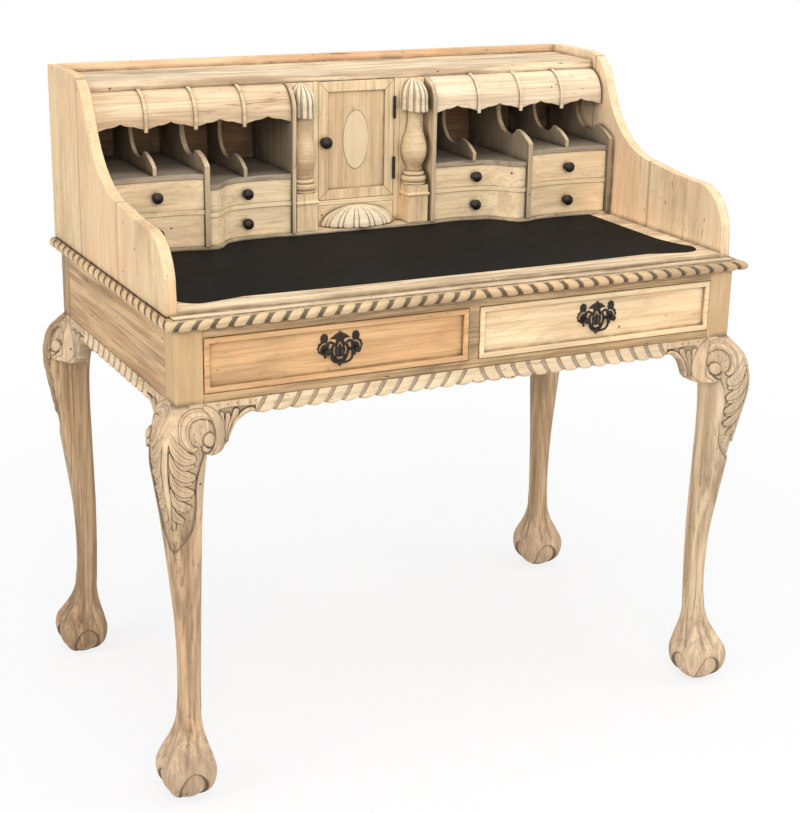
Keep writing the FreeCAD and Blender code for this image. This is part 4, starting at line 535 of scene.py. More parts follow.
def hide(name):
    """Black leather, browner in clouds and scuffed in small spots."""
    material, tree, shader, place = new_material(name)
    cloud = tree.between(tree.noise(place, 9.0, 5.0, 0.6), 0.40, 0.70)
    fine = tree.noise(place, 70.0, 3.0, 0.6)
    pebble = tree.add("ShaderNodeTexVoronoi", {"Vector": place, "Scale": PEBBLES})
    color = tree.tint(HIDE_BLACK, HIDE_BROWN, cloud, 0.8)
    color = tree.mix(tree.between(fine, 0.56, 0.76, 0.0, 0.45), color, HIDE_SCUFF)
    height = tree.sum("ADD", pebble, tree.times(fine, 0.8))
    set_surface(tree, shader, color, tree.between(cloud, 0.0, 1.0, 0.62, 0.74),
                bumped(tree, 0.30, 0.0004, height), 0.08)
    return material


def iron(name):
    """Blackened iron, rusty in patches, and paler along its edges as rubbed wear and as a painted highlight.
    """
    material, tree, shader, place = new_material(name)
    rust = tree.between(tree.noise(place, 130.0, 5.0, 0.65), 0.45, 0.70)
    hammer = tree.noise(place, 420.0, 3.0, 0.6)
    edge = place_group(tree, "worn and highlit edge", Radius=0.0009)
    color = tree.tint(tree.mix(rust, IRON_BLACK, IRON_RUST), IRON_RUBBED_AND_HIGHLIT, edge["Mask"], 0.45)
    set_surface(tree, shader, color, tree.between(rust, 0.0, 1.0, 0.36, 0.62),
                bumped(tree, 0.35, 0.0005, hammer, Normal=edge["Normal"]), 0.5)
    shader.inputs["Metallic"].default_value = IRON_METALLIC
    return material


finishes["leather"] = hide("black_leather_hide")
finishes["iron"] = iron("dark_iron_forged")
print("finishes:", len(finishes))

# %% [markdown]
# Dressing the boards
#
# Each board keeps its mesh and gets its finish by name. A table of name beginnings is shorter than
# one line per board, and where two beginnings fit, the longer one counts. A board that no beginning
# fits stops the script, so none can be forgotten.

# %% Finish of every board
DRESS = {
    "leg": "leg_", "rail": "knee_brackets front_frame", "frieze": "frieze_boards",
    "inner": "drawer_runners back_panel", "carved": "apron_gadroon", "rope": "rope_moulding",
    "top": "desk_top writing_board top_shelf ledge_board", "leather": "writing_leather",
    "panel": "side_panel_left", "pale_panel": "side_panel_right", "gallery": "gallery_board",
    "pigeonhole": "end_cheeks tall_dividers slide_screens pigeonhole_dividers",
    "pigeonhole_level": "pigeonhole_shelves", "nest_upright": "door_jambs",
    "nest": "drawer_ drawer_blades cupboard_floor shell_drawer", "canopy": "canopy_left",
    "pale_canopy": "canopy_right", "drawer_left": "frieze_drawer_left",
    "drawer_right": "frieze_drawer_right", "slide": "document_slide", "door_frame": "door_frame",
    "door_panel": "door_panel", "iron": "handle_plate bail_ knob_ door_knob hinge_",
}
BEGINNINGS = {start: finish for finish, starts in DRESS.items() for start in starts.split()}
for name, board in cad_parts.items():
    start = max((start for start in BEGINNINGS if name.startswith(start)), key=len)
    if not board.material_slots:
        board.data.materials.append(None)
    for slot in board.material_slots:
        slot.material = finishes[BEGINNINGS[start]]
print("boards dressed:", len(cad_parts))

# %% [markdown]
# Carving as a height over a surface
#
# A carver starts from a shaped blank and cuts down. The same can be done with numbers: lay a fine
# grid over the blank, work out for each point how deep the cut is, and move the point in along
# the surface normal. Sculpting by hand would look as good but could not be repeated or resized, and
# a displacement modifier would need an image. numpy works out a whole carving in one go. All places
# are in millimetres until a mesh is made.

# %% Helpers for carved grids
MM = 0.001
# The ends of a run are darkened a little, as dirt and painted shade.
CAP_STAIN_AND_SHADE = 0.2
CURVE_STEPS = 10


def grid_piece(name, points, stain_and_shade, finish, closed=False):
    """Mesh from rows x columns of points with dirt and painted shade each; closed joins the last column to
    the first.
    """
    rows, columns = points.shape[:2]
    index = np.arange(rows * columns).reshape(rows, columns)
    if closed:
        index = np.hstack([index, index[:, :1]])
    quads = np.stack([index[:-1, :-1], index[:-1, 1:], index[1:, 1:], index[1:, :-1]], -1).reshape(-1, 4)
    mesh = bpy.data.meshes.new(name)
    mesh.from_pydata((points * MM).reshape(-1, 3).tolist(), [], quads.tolist())
    # Each point's darkening for dirt and painted shade, read by the wood recipe.
    layer = mesh.attributes.new("stain_and_shade", "FLOAT", "POINT")
    layer.data.foreach_set("value", np.clip(stain_and_shade, 0, 1).astype(np.float32).ravel())
    mesh.polygons.foreach_set("use_smooth", [True] * len(mesh.polygons))
    mesh.materials.append(finishes[finish])
    return put(name, mesh)


def capped(points, stain_and_shade, first=True):
    """Close the last end of a run of columns, and the first if wanted, each with a fan to its middle."""
    fans = [np.broadcast_to((end.min(1, keepdims=True) + end.max(1, keepdims=True)) / 2, end.shape)
            for end in (points[:1], points[-1:])]
    tones = [np.full((1, stain_and_shade.shape[1]), CAP_STAIN_AND_SHADE)] * 2
    start = 0 if first else 1
    return np.vstack([*fans[start:1], points, fans[1]]), np.vstack([*tones[start:1], stain_and_shade, tones[1]])


def joined(name, pieces):
    """Several meshes as one object; their values for dirt and painted shade are kept."""
    with bpy.context.temp_override(active_object=pieces[0], selected_editable_objects=pieces,
                                   selected_objects=pieces):
        bpy.ops.object.join()
    pieces[0].name = pieces[0].data.name = name
    return pieces[0]


def mirrored_copy(piece, name, across):
    copy = piece.copy()
    copy.data = piece.data.copy()
    copy.name = copy.data.name = name
    bpy.context.scene.collection.objects.link(copy)
    copy.data.transform(Matrix.Diagonal((*across, 1.0, 1.0)))
    if across[0] * across[1] < 0:
        copy.data.flip_normals()
    return copy


def smooth_curve(points):
    """Points on a curve through the given ones (Catmull-Rom); works for any number of columns."""
    p = np.asarray(points, float)
    p = np.vstack([2 * p[0] - p[1], p, 2 * p[-1] - p[-2]])
    t = np.linspace(0, 1, CURVE_STEPS, endpoint=False)[:, None]
    run = []
    for a, b, c, d in zip(p[:-3], p[1:-2], p[2:-1], p[3:]):
        run.append(0.5 * (2 * b + (c - a) * t + (2 * a - 5 * b + 4 * c - d) * t ** 2
                          + (3 * b - a - 3 * c + d) * t ** 3))
    return np.vstack(run + [p[-2:-1]])


def through(table, x, column=1):
    """Smooth value at x of one column of a table whose first column rises."""
    curve = smooth_curve(np.array(table)[:, (0, column)])
    return np.interp(x, curve[:, 0], curve[:, 1])


def ease(value, low, high):
    """0 below low, 1 above high, smooth between; low may be above high."""
    share = np.clip((value - low) / (high - low), 0, 1)
    return share * share * (3 - 2 * share)


def bulge(share):
    """0 where share is 0, rising as a quarter circle to 1 where it is 1 or more."""
    return 1 - np.sqrt(np.clip(1 - share ** 2, 0, 1))


def near_line(across, up, line):
    """Distance of points from a line, the side they lie on, and the line's columns at the nearest place."""
    best = np.full(across.shape, np.inf)
    found = np.zeros(across.shape + (line.shape[1],))
    side = np.zeros(across.shape)
    for start, end in zip(line[:-1], line[1:]):
        run = end[:2] - start[:2]
        length = max(run @ run, 1e-12)
        share = np.clip(((across - start[0]) * run[0] + (up - start[1]) * run[1]) / length, 0, 1)
        off_x = across - start[0] - share * run[0]
        off_y = up - start[1] - share * run[1]
        gap = np.hypot(off_x, off_y)
        nearer = gap < best
        best = np.where(nearer, gap, best)
        side = np.where(nearer, np.sign(run[0] * off_y - run[1] * off_x), side)
        found = np.where(nearer[..., None], start + (end - start) * share[..., None], found)
    return best, side, found


def outlined(across, up, outline):
    """Distance of points from a closed outline, and which of them lie in it."""
    outline = np.array(outline, float)
    within = np.zeros(across.shape, bool)
    for (x0, y0), (x1, y1) in zip(outline, np.roll(outline, -1, 0)):
        crosses = (y0 > up) != (y1 > up)
        rise = (y1 - y0) if y1 != y0 else 1e-12
        within ^= crosses & (across < (x1 - x0) * (up - y0) / rise + x0)
    return near_line(across, up, np.vstack([outline, outline[:1]]))[0], within


print("grid helpers ready")

# %% [markdown]
# The carver's cuts
#
# Four cuts make every knee: a raised stroke with fluted grooves, an incised line, a round button
# and the dent of a punch. Each changes the height and darkens the wood where dirt would stay and
# where shade would fall, as painted shade.

# %% Cuts
# The darkening values below paint dirt and shade into the cuts.
STROKE_EDGE, STROKE_OVERLAP = 0.78, 0.6
RIM_CUT, RIM_STAIN_AND_SHADE, RIM_HALF = 1.1, 0.76, 0.7
LINE_STAIN_AND_SHADE = 0.95
DENT_RADIUS, DENT_DEPTH, DENT_STAIN_AND_SHADE = 1.3, 0.7, 0.85
BUTTON_EDGE, BUTTON_STAIN_AND_SHADE, BUTTON_RIM = 0.84, 0.8, 1.2


class Carving:
    """Height and darkening for dirt and painted shade over a field of points, built up stroke by stroke; all
    in millimetres.
    """

    def __init__(self, across, up, ground, stain_and_shade):
        self.across = across
        self.up = up
        self.height = ground
        self.stain_and_shade = stain_and_shade

    # Darkening for dirt and painted shade, kept where it is strongest.
    def soil_and_shade(self, mark):
        self.stain_and_shade = np.maximum(self.stain_and_shade, mark)

    def stroke(self, points, top, crown, grooves=()):
        """A raised stroke through (across, up, half width). A groove is (offset, width, depth), the first
        two as shares of the half width."""
        best, side, found = near_line(self.across, self.up, smooth_curve(points))
        half = np.maximum(found[..., 2], 0.05)
        share = best / half
        rise = top * (1 - crown * share ** 2) * ease(share, 1.0, STROKE_EDGE)
        cut = np.zeros(rise.shape)
        for offset, width, depth in grooves:
            cut += depth * np.exp(-((share * side - offset) / width) ** 2)
        over = (share < 1.0) & (rise > self.height - STROKE_OVERLAP)
        self.height = np.where(over, rise - cut, self.height)
        self.stain_and_shade = np.where(over, np.clip(cut * 0.6, 0, 0.9), self.stain_and_shade)
        rim = np.exp(-((best - half * 0.97) / RIM_HALF) ** 2) * np.clip(half / 2, 0, 1)
        self.height = self.height - RIM_CUT * rim
        self.soil_and_shade(RIM_STAIN_AND_SHADE * rim)

    def line(self, points, half, depth):
        """An incised line."""
        mark = np.exp(-(near_line(self.across, self.up, smooth_curve(points))[0] / half) ** 2)
        self.height = self.height - depth * mark
        self.soil_and_shade(LINE_STAIN_AND_SHADE * mark)

    def button(self, across, up, radius, top):
        """A round button, domed."""
        gap = np.hypot(self.across - across, self.up - up) / radius
        dome = np.sqrt(np.clip(1 - gap ** 2, 0, 1)) * top
        self.height = np.where(gap < 1, dome, self.height)
        self.stain_and_shade = np.where(gap < 1, ease(gap, BUTTON_EDGE, 1.0) * BUTTON_STAIN_AND_SHADE, self.stain_and_shade)
        self.soil_and_shade(np.exp(-(((gap - 1) * radius) / BUTTON_RIM) ** 2) * (gap >= 1))

    def dents(self, places):
        """Small round marks of a punch."""
        for across, up in places:
            mark = np.exp(-(((self.across - across) ** 2 + (self.up - up) ** 2) / DENT_RADIUS ** 2))
            self.height = self.height - DENT_DEPTH * mark
            self.soil_and_shade(DENT_STAIN_AND_SHADE * mark)


print("cuts ready")

# %% [markdown]
# The knee
#
# The knee carries the richest carving on the desk: a plain ridge runs down the corner with
# acanthus lobes falling from both sides of it, a C-scroll with a rolled end holds a punched field,
# and an incised line closes the field below. Both outer faces carry the same design, mirrored about
# the corner. Places are in millimetres: across is measured along a face from the middle of the
# corner post, and up from the floor.

# %% Design of the knee
SUNK = 3.3
FIELD_EDGE = np.array([
    (-11.3, 566.8), (-0.9, 545.9), (3.5, 518.8), (2.8, 477.1), (7.1, 445.4), (25.0, 419.9),
    (38.0, 409.0), (66.0, 405.0), (66.0, 588.0), (41.0, 597.0), (34.0, 590.0), (27.0, 582.0),
    (18.9, 572.8), (10.0, 580.0), (12.2, 594.6), (11.3, 605.2), (2.7, 613.3), (-11.3, 616.0),
    (-24.2, 612.5), (-29.8, 605.0), (-31.5, 592.0), (-28.0, 577.0), (-20.0, 569.0)])
BORDER = [
    (-13.0, 571.0), (-0.9, 545.9), (3.5, 518.8), (2.8, 477.1), (7.1, 445.4), (25.0, 419.9),
    (40.0, 406.5)]
SCROLL = [
    (-27.5, 614.5, 4.6), (-13.0, 621.0, 6.4), (1.2, 620.4, 7.0), (13.6, 613.6, 7.6),
    (19.4, 603.2, 8.0), (19.6, 591.0, 7.6), (14.5, 581.0, 6.4), (7.5, 575.5, 4.6), (2.5, 576.5, 2.8)]
LOBES = (
    [(40.0, 480.0, 1.8), (37.5, 466.0, 4.0), (35.0, 454.0, 3.8)],
    [(41.0, 496.0, 2.0), (37.5, 482.0, 5.0), (31.0, 470.5, 6.6), (24.0, 464.5, 5.6)],
    [(36.0, 494.0, 1.8), (31.0, 485.0, 3.2), (25.0, 480.0, 3.8), (18.0, 478.5, 3.2)],
    [(42.5, 520.0, 2.0), (38.5, 505.0, 5.4), (30.0, 493.0, 7.8), (21.0, 486.5, 7.6), (14.0, 484.5, 5.6)],
    [(37.0, 517.0, 2.0), (31.0, 507.0, 3.6), (23.0, 501.5, 4.4), (14.0, 500.5, 3.6)],
    [(43.5, 546.0, 2.0), (39.5, 531.0, 5.8), (30.0, 518.5, 8.6), (19.5, 511.0, 8.6), (11.0, 508.5, 6.2)],
    [(38.0, 541.0, 2.0), (31.0, 531.0, 4.0), (22.0, 525.5, 4.8), (12.0, 525.0, 3.8)],
    [(44.0, 574.0, 2.0), (40.5, 558.0, 6.2), (31.5, 545.0, 9.2), (20.0, 536.5, 9.4), (11.0, 533.5, 7.0)],
    [(37.0, 566.0, 2.0), (30.0, 556.5, 4.2), (21.0, 551.0, 5.2), (10.0, 551.0, 4.0)],
    [(42.0, 604.0, 2.0), (39.5, 590.0, 6.6), (31.5, 575.5, 10.6), (20.5, 565.0, 11.0), (10.5, 561.5, 8.0)],
)
VOLUTE = [
    (-22.0, 627.0, 4.2), (-32.0, 617.5, 7.2), (-39.0, 604.0, 9.0), (-41.8, 588.0, 9.8),
    (-41.0, 574.5, 8.8), (-35.5, 567.0, 6.4), (-27.0, 565.0, 4.0)]
BRACKET_FIELD = np.array([
    (-41.0, 622.5), (-60.0, 624.0), (-108.0, 622.0), (-108.0, 606.0), (-83.0, 605.0), (-68.0, 594.0),
    (-60.0, 578.0), (-54.0, 562.0), (-46.0, 556.0), (-50.0, 572.0), (-48.5, 592.0), (-42.5, 612.0)])
BRACKET_LOBES = (
    [(-53.5, 570.0, 1.5), (-51.0, 588.0, 3.6), (-47.0, 604.0, 5.0), (-46.5, 614.0, 4.6)],
    [(-54.5, 573.0, 1.5), (-55.5, 590.0, 3.8), (-57.0, 603.0, 5.2), (-57.0, 611.0, 4.4)],
    [(-56.0, 575.0, 1.5), (-61.0, 592.0, 4.2), (-67.0, 606.0, 5.4), (-70.5, 615.5, 5.2)],
    [(-57.0, 566.0, 2.0), (-62.5, 583.0, 4.4), (-71.0, 598.5, 5.6), (-83.0, 610.0, 6.2), (-94.0, 614.0, 5.6),
     (-100.0, 611.0, 3.4)])
BAND_PUNCHES = ((-41, 628.4), (-58, 627.6), (-72, 628.2), (-92, 627.2), (-101, 628.0))
PUNCHES = (
    (6, 605), (-9, 605), (3, 596), (-7, 596), (-18, 602), (2, 586), (-5, 578), (-24, 597), (-1, 568),
    (4, 560), (12, 549), (3, 550), (9, 540), (10, 512), (18, 511), (9, 500), (8, 486), (13, 476),
    (11, 462), (20, 455), (14, 448), (27, 441), (21, 434), (31, 428), (36, 418), (30, 449))
CORNER_HALF = 5.4
FIELD_SLOPE = 1.3
# Darkening of the sunk field, its edge, the bracket field and the ridge lines: dirt and painted shade.
FIELD_STAIN_AND_SHADE, FIELD_EDGE_STAIN_AND_SHADE, FIELD_EDGE_WIDTH = 0.13, 0.60, 1.5
BRACKET_SUNK, BRACKET_STAIN_AND_SHADE = 0.5, 0.36
# Strokes: top, crown, grooves.
LOBE_STROKE = (SUNK - 0.15, 0.42, ((0.0, 0.09, 1.0), (0.46, 0.08, 0.6), (-0.46, 0.08, 0.6)))
SCROLL_STROKE = (SUNK + 0.1, 0.12, ((0.50, 0.09, 1.1), (-0.52, 0.09, 0.9)))
BRACKET_STROKE = (SUNK + 0.3, 0.35, ((0.0, 0.12, 0.7),))
VOLUTE_STROKE = (SUNK + 1.2, 0.45)
BORDER_HALF, BORDER_DEPTH = 0.85, 1.0
BUTTONS = ((-13.5, 576.0, 7.2, 1.6), (-18.8, 586.2, 10.4, 3.4))  # across, up, radius, top over the wood
RIDGE_LOW, RIDGE_FULL, RIDGE_HIGH = 446.0, 500.0, 612.0
RIDGE_LINE, RIDGE_CUT, RIDGE_STAIN_AND_SHADE, RIDGE_CROWN = 0.9, 0.9, 0.6, 0.18


def knee_carving(across, up, from_corner):
    """Height over the blank (0 or less) and darkening for dirt and painted shade; from_corner is the distance
    from the corner's ridge.
    """
    gap, within = outlined(across, up, FIELD_EDGE)
    ground = np.where(within, SUNK * (1 - ease(gap, 0.0, FIELD_SLOPE)), SUNK)
    # Dirt and painted shade in the sunk field and along its edge.
    edge_stain_and_shade = FIELD_EDGE_STAIN_AND_SHADE * np.exp(-(gap / FIELD_EDGE_WIDTH) ** 2)
    work = Carving(across, up, ground, np.where(within, FIELD_STAIN_AND_SHADE + edge_stain_and_shade, 0.0))
    gap, within = outlined(across, up, BRACKET_FIELD)
    cut = within * ease(gap, 0.0, FIELD_SLOPE)
    work.height = work.height - (SUNK - BRACKET_SUNK) * cut
    work.soil_and_shade(BRACKET_STAIN_AND_SHADE * cut)
    work.line(BORDER, BORDER_HALF, BORDER_DEPTH)
    work.dents(PUNCHES + BAND_PUNCHES)
    for lobe in LOBES:
        work.stroke(lobe, *LOBE_STROKE)
    work.stroke(SCROLL, *SCROLL_STROKE)
    for lobe in BRACKET_LOBES:
        work.stroke(lobe, *BRACKET_STROKE)
    work.stroke(VOLUTE, *VOLUTE_STROKE)
    for middle, height, radius, top in BUTTONS:
        work.button(middle, height, radius, SUNK + top)
    taper = CORNER_HALF * ease(up, RIDGE_LOW, RIDGE_FULL) * 0.9 + 0.5
    ridge = (up > RIDGE_LOW) & (up < RIDGE_HIGH) & (from_corner < taper)
    share = np.clip(from_corner / np.maximum(taper, 0.1), 0, 1)
    work.height = np.where(ridge, SUNK * (1 - RIDGE_CROWN * share ** 2), work.height)
    line = np.exp(-((from_corner - taper) / RIDGE_LINE) ** 2)
    line = line * ease(up, RIDGE_LOW, RIDGE_LOW + 10.0) * ease(up, RIDGE_HIGH - 20.0, RIDGE_HIGH - 42.0)
    work.height = work.height - RIDGE_CUT * line
    work.stain_and_shade = np.maximum(np.where(ridge, work.stain_and_shade * 0.1, work.stain_and_shade), RIDGE_STAIN_AND_SHADE * line)
    return work.height - SUNK, work.stain_and_shade


print("lobes on each face:", len(LOBES), " punches:", len(PUNCHES))

# %% [markdown]
# The cabriole leg
#
# The blank is a rounded square that swells at the knee, narrows to the ankle and drifts outward on
# the diagonal. Sections down the leg fix its half width, its drift and the rounding of its corners,
# and smooth curves run through them. The grid is fine where the knee is carved and coarse
# elsewhere.

# %% Leg blank and carved leg
SECTIONS = np.array([  # up, drift, half width, rounding
    (129.0, 9.6, 19.0, 0.80), (164.5, 6.5, 17.3, 0.85), (216.6, 5.0, 17.3, 0.80),
    (283.2, 6.25, 18.7, 0.70), (343.9, 11.1, 21.3, 0.60), (413.7, 17.4, 25.0, 0.55),
    (464.8, 22.8, 28.1, 0.50), (510.4, 27.9, 31.7, 0.42), (546.9, 30.0, 35.2, 0.40),
    (579.8, 25.0, 36.5, 0.40), (603.5, 16.8, 34.6, 0.34), (620.7, 6.6, 28.1, 0.25),
    (632.7, 0.0, 21.5, 0.12)])
POST_X, POST_Y, POST_HALF, POST_RADIUS = 465.0, 261.2, 21.5, 0.8
POST_ROWS = (744.5, 700.0, 660.0, 640.0)
KNEE_TOP, CARVED_LOW, ANKLE = 632.7, 404.0, 150.0
CARVED_STEP, PLAIN_STEP = 1.05, 5.5
CORNER_LOSS = 0.2146  # of its radius, by which a round corner is shorter than a square one
SHELF_WIDTH, SHELF_STAIN_AND_SHADE = 3.2, 0.75


def section(up):
    """Centre's offset along x and y, half width and corner radius of the leg at the given heights."""
    half = through(SECTIONS, up, 2)
    return through(SECTIONS, up) * math.sqrt(0.5), half, half * np.interp(up, SECTIONS[:, 0], SECTIONS[:, 3])


def round_square(arc, half, radius):
    """Point and outward normal at a distance arc from the middle of the outer corner, towards face 1."""
    quarter = radius * math.pi / 4
    straight = half - radius
    side = 2 * (quarter + straight)
    arc = np.mod(arc, 4 * side)
    turn = np.floor(arc / side + 1e-9)
    rest = arc - turn * side
    first = rest < quarter
    last = rest > quarter + 2 * straight
    safe = np.maximum(radius, 1e-6)
    angle = np.where(first, math.pi / 4 - rest / safe,
                     np.where(last, -(rest - quarter - 2 * straight) / safe, 0.0))
    middle = np.where(first, straight, np.where(last, -straight, straight - (rest - quarter)))
    px = straight + radius * np.cos(angle)
    py = middle + radius * np.sin(angle)
    nx, ny = np.cos(angle), np.sin(angle)
    c, s = np.cos(-turn * math.pi / 2), np.sin(-turn * math.pi / 2)
    return (c * px - s * py, s * px + c * py), (c * nx - s * ny, s * nx + c * ny)


def carved_leg():
    """Front right leg from the post down to the ankle, as a grid with darkening for dirt and painted shade.
    """
    rows = np.concatenate([POST_ROWS, np.arange(KNEE_TOP, CARVED_LOW, -CARVED_STEP),
                           np.arange(CARVED_LOW - 1.0, ANKLE + 1.0, -PLAIN_STEP), [ANKLE]])
    share = np.concatenate([np.linspace(-1.0, 1.0, 175), np.linspace(1.0, 3.0, 98)[1:-1]])
    up = np.repeat(rows[:, None], len(share), 1)
    drift, half, radius = section(np.minimum(up, KNEE_TOP))
    above = up > KNEE_TOP
    half = np.where(above, POST_HALF, half)
    radius = np.where(above, POST_RADIUS, radius)
    drift = np.where(above, 0.0, drift)
    side = 2 * (radius * math.pi / 4 + half - radius)
    arc = share[None, :] * side
    (px, py), (nx, ny) = round_square(arc, half, radius)
    from_corner = np.abs(arc)
    height, stain_and_shade = knee_carving(drift + half - CORNER_LOSS * radius - from_corner, up, from_corner)
    carved = (share[None, :] <= 1.0) & ~above
    fade = ease(up, CARVED_LOW, CARVED_LOW + 5.0) * np.where(carved, 1.0, 0.0)
    fade = fade * ease(from_corner, side, side - 3.0)
    height, stain_and_shade = height * fade, stain_and_shade * fade
    # Dirt and painted shade in a band round the top of the knee, under the post.
    shelf = np.exp(-((up - KNEE_TOP) / SHELF_WIDTH) ** 2) * ease(from_corner, 60.0, 20.0)
    stain_and_shade = np.maximum(stain_and_shade, SHELF_STAIN_AND_SHADE * shelf)
    return np.stack([POST_X + drift + px + nx * height, -(POST_Y + drift + py + ny * height), up], -1), stain_and_shade


leg_points, leg_stain_and_shade = carved_leg()
print("leg grid:", leg_points.shape)

# %% [markdown]
# The ball and claw
#
# Below the ankle the leg spreads into four broad toes that grip a ball. Seen from above, the toes
# point along the diagonals and the ball shows between them, each patch under a dark arched line.
# One grid of heights and angles carries it all: the radius follows the toes and the web between
# them, and inside an arch it drops back to the ball.

# %% Foot
FOOT_DRIFT = 22.0
FOOT_TOP, FOOT_HALF = 147.4, 40.7
BALL_UP, BALL_RADIUS, BALL_LEAST = 38.0, 40.0, 12.0
# Darkening in the arch grooves, towards the sole and in the hollows between toes: dirt and painted shade.
GROOVE_DEPTH, GROOVE_WIDTH, GROOVE_STAIN_AND_SHADE = 1.9, 1.25, 0.95
SOLE_STAIN_AND_SHADE, HOLLOW_STAIN_AND_SHADE = 0.35, 0.42
TOE_REACH = (  # up, reach
    (0.0, 13.0), (2.5, 20.0), (6.0, 27.5), (12.0, 36.5), (22.0, 44.8), (36.0, 49.5), (50.0, 50.5),
    (62.0, 48.0), (76.0, 41.5), (90.0, 33.8), (104.0, 27.2), (118.0, 22.6), (131.0, 20.0),
    (144.0, 18.8), (156.0, 18.4))
WEB_REACH = (
    (0.0, 12.5), (2.5, 18.5), (6.0, 24.0), (12.0, 30.6), (22.0, 36.8), (36.0, 40.2), (50.0, 39.4),
    (62.0, 35.2), (76.0, 29.0), (90.0, 24.0), (104.0, 20.6), (118.0, 18.4), (131.0, 17.6),
    (144.0, 17.5), (156.0, 17.3))
FOOT_SHIFT = (
    (0.0, 22.0), (57.0, 22.0), (78.0, 18.3), (101.0, 13.5), (129.0, 9.6), (150.0, 7.6), (164.5, 6.5))
ARCH = np.array([  # up, half opening in degrees
    (0.0, 42.0), (10.0, 38.5), (18.0, 35.5), (27.0, 31.5), (36.0, 26.5), (43.0, 20.5), (47.5, 14.0),
    (50.0, 8.0), (51.0, 0.0)])
ARCH_TOP = 51.0
TOE_NARROWING = ((0.0, 20.0, 50.0, 70.0, 95.0, 130.0), (2.6, 2.2, 1.6, 1.8, 1.9, 1.2))


def square_reach(up, more, less):
    """Reach of the leg's rounded square along angles whose larger and smaller shares are more and less."""
    drift, half, radius = section(up)
    straight = half - radius
    flat = half / more
    aim = straight * (more + less)
    bent = aim + np.sqrt(np.maximum(aim ** 2 - 2 * straight ** 2 + radius ** 2, 0))
    return drift, np.where(flat * less <= straight, flat, bent)


def foot(angles):
    """Rows of the foot below FOOT_TOP, at the angles of the leg's own columns."""
    rows = np.concatenate([np.arange(FOOT_TOP, 66.0, -2.6), np.arange(65.0, 1.0, -1.1), [0.6, 0.0]])
    up = np.repeat(rows[:, None], len(angles), 1)
    angle = np.repeat(angles[None, :], len(rows), 0)
    toe, web = through(TOE_REACH, up), through(WEB_REACH, up)
    from_face = np.degrees(np.abs((angle + math.pi / 4) % (math.pi / 2) - math.pi / 4))
    ridge = ((1 - np.cos(np.radians(4 * from_face))) / 2) ** np.interp(up, *TOE_NARROWING)
    reach = web + (toe - web) * ridge
    opening = np.interp(up, ARCH[:, 0], ARCH[:, 1], right=-1.0)
    ball = np.sqrt(np.clip(BALL_RADIUS ** 2 - (up - BALL_UP) ** 2, BALL_LEAST ** 2, None)) - 0.9
    inward = (opening - from_face) * np.radians(1) * BALL_RADIUS
    under_arch = np.minimum(inward, (ARCH_TOP - up) * 1.1)
    bared = ease(under_arch, -0.2, 1.2) * (up < ARCH_TOP + 1.0)
    reach = reach * (1 - bared) + np.minimum(ball, reach) * bared
    groove = np.exp(-(under_arch / GROOVE_WIDTH) ** 2) * (up < ARCH_TOP + 3.0)
    reach = reach - GROOVE_DEPTH * groove
    upright, level = np.abs(np.cos(angle)), np.abs(np.sin(angle))
    more, less = np.maximum(upright, level), np.minimum(upright, level)
    reach = np.minimum(reach, FOOT_HALF / more)
    drift, square = square_reach(up, more, less)
    blend = ease(up, 128.0, 148.0)
    reach = reach * (1 - blend) + square * blend
    shift = through(FOOT_SHIFT, up) * (1 - blend) * math.sqrt(0.5) + drift * blend
    hollow = np.exp(-((from_face - 17.0) / 6.0) ** 2) * ease(up, 56.0, 70.0) * ease(up, 128.0, 96.0)
    # Dirt and painted shade: darker in the arch grooves, towards the sole and in the hollows between toes.
    stain_and_shade = np.maximum(GROOVE_STAIN_AND_SHADE * groove, SOLE_STAIN_AND_SHADE * ease(up, 7.0, 0.0))
    stain_and_shade = np.maximum(stain_and_shade, HOLLOW_STAIN_AND_SHADE * hollow)
    x, y = POST_X + shift + reach * np.cos(angle), POST_Y + shift + reach * np.sin(angle)
    return np.stack([x, -y, up], -1), stain_and_shade


ankle = leg_points[-1]
ankle_drift = section(np.full(1, ANKLE))[0]
foot_angles = np.arctan2(-ankle[:, 1] - POST_Y - ankle_drift, ankle[:, 0] - POST_X - ankle_drift)
foot_points, foot_stain_and_shade = foot(foot_angles)
sole = np.array((POST_X, -POST_Y, 0.0)) + np.array((FOOT_DRIFT, -FOOT_DRIFT, 0.0)) * math.sqrt(0.5)
whole_points = np.vstack([leg_points, foot_points, np.broadcast_to(sole, (1, *ankle.shape))])
whole_stain_and_shade = np.vstack([leg_stain_and_shade, foot_stain_and_shade, np.full((1, foot_stain_and_shade.shape[1]), 0.6)])

# The front right leg is painted paler, as painted light, and the back left leg darker, as painted shade.
PLACES = (("front_right", (1, 1), "lit_leg"), ("front_left", (-1, 1), "leg"), ("back_right", (1, -1), "leg"),
          ("back_left", (-1, -1), "shaded_leg"))
right_leg = grid_piece("carved_leg_front_right", whole_points[:, ::-1], whole_stain_and_shade[:, ::-1], "leg",
                       closed=True)
for place, across, finish in PLACES:
    leg = right_leg if across == (1, 1) else mirrored_copy(right_leg, f"carved_leg_{place}", across)
    leg.data.materials[0] = finishes[finish]
    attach(leg, "carcass")
    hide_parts(f"leg_{place}")
print("legs:", len(PLACES), " points each:", len(right_leg.data.vertices))

# %% [markdown]
# The knee brackets
#
# Two brackets grow out of each knee, one along the front or back rail and one along the side. Their
# face starts level with the knee and falls back to the rail, so the carving can run across the
# joint. The same design function gives the height here as on the leg; only the blank differs.

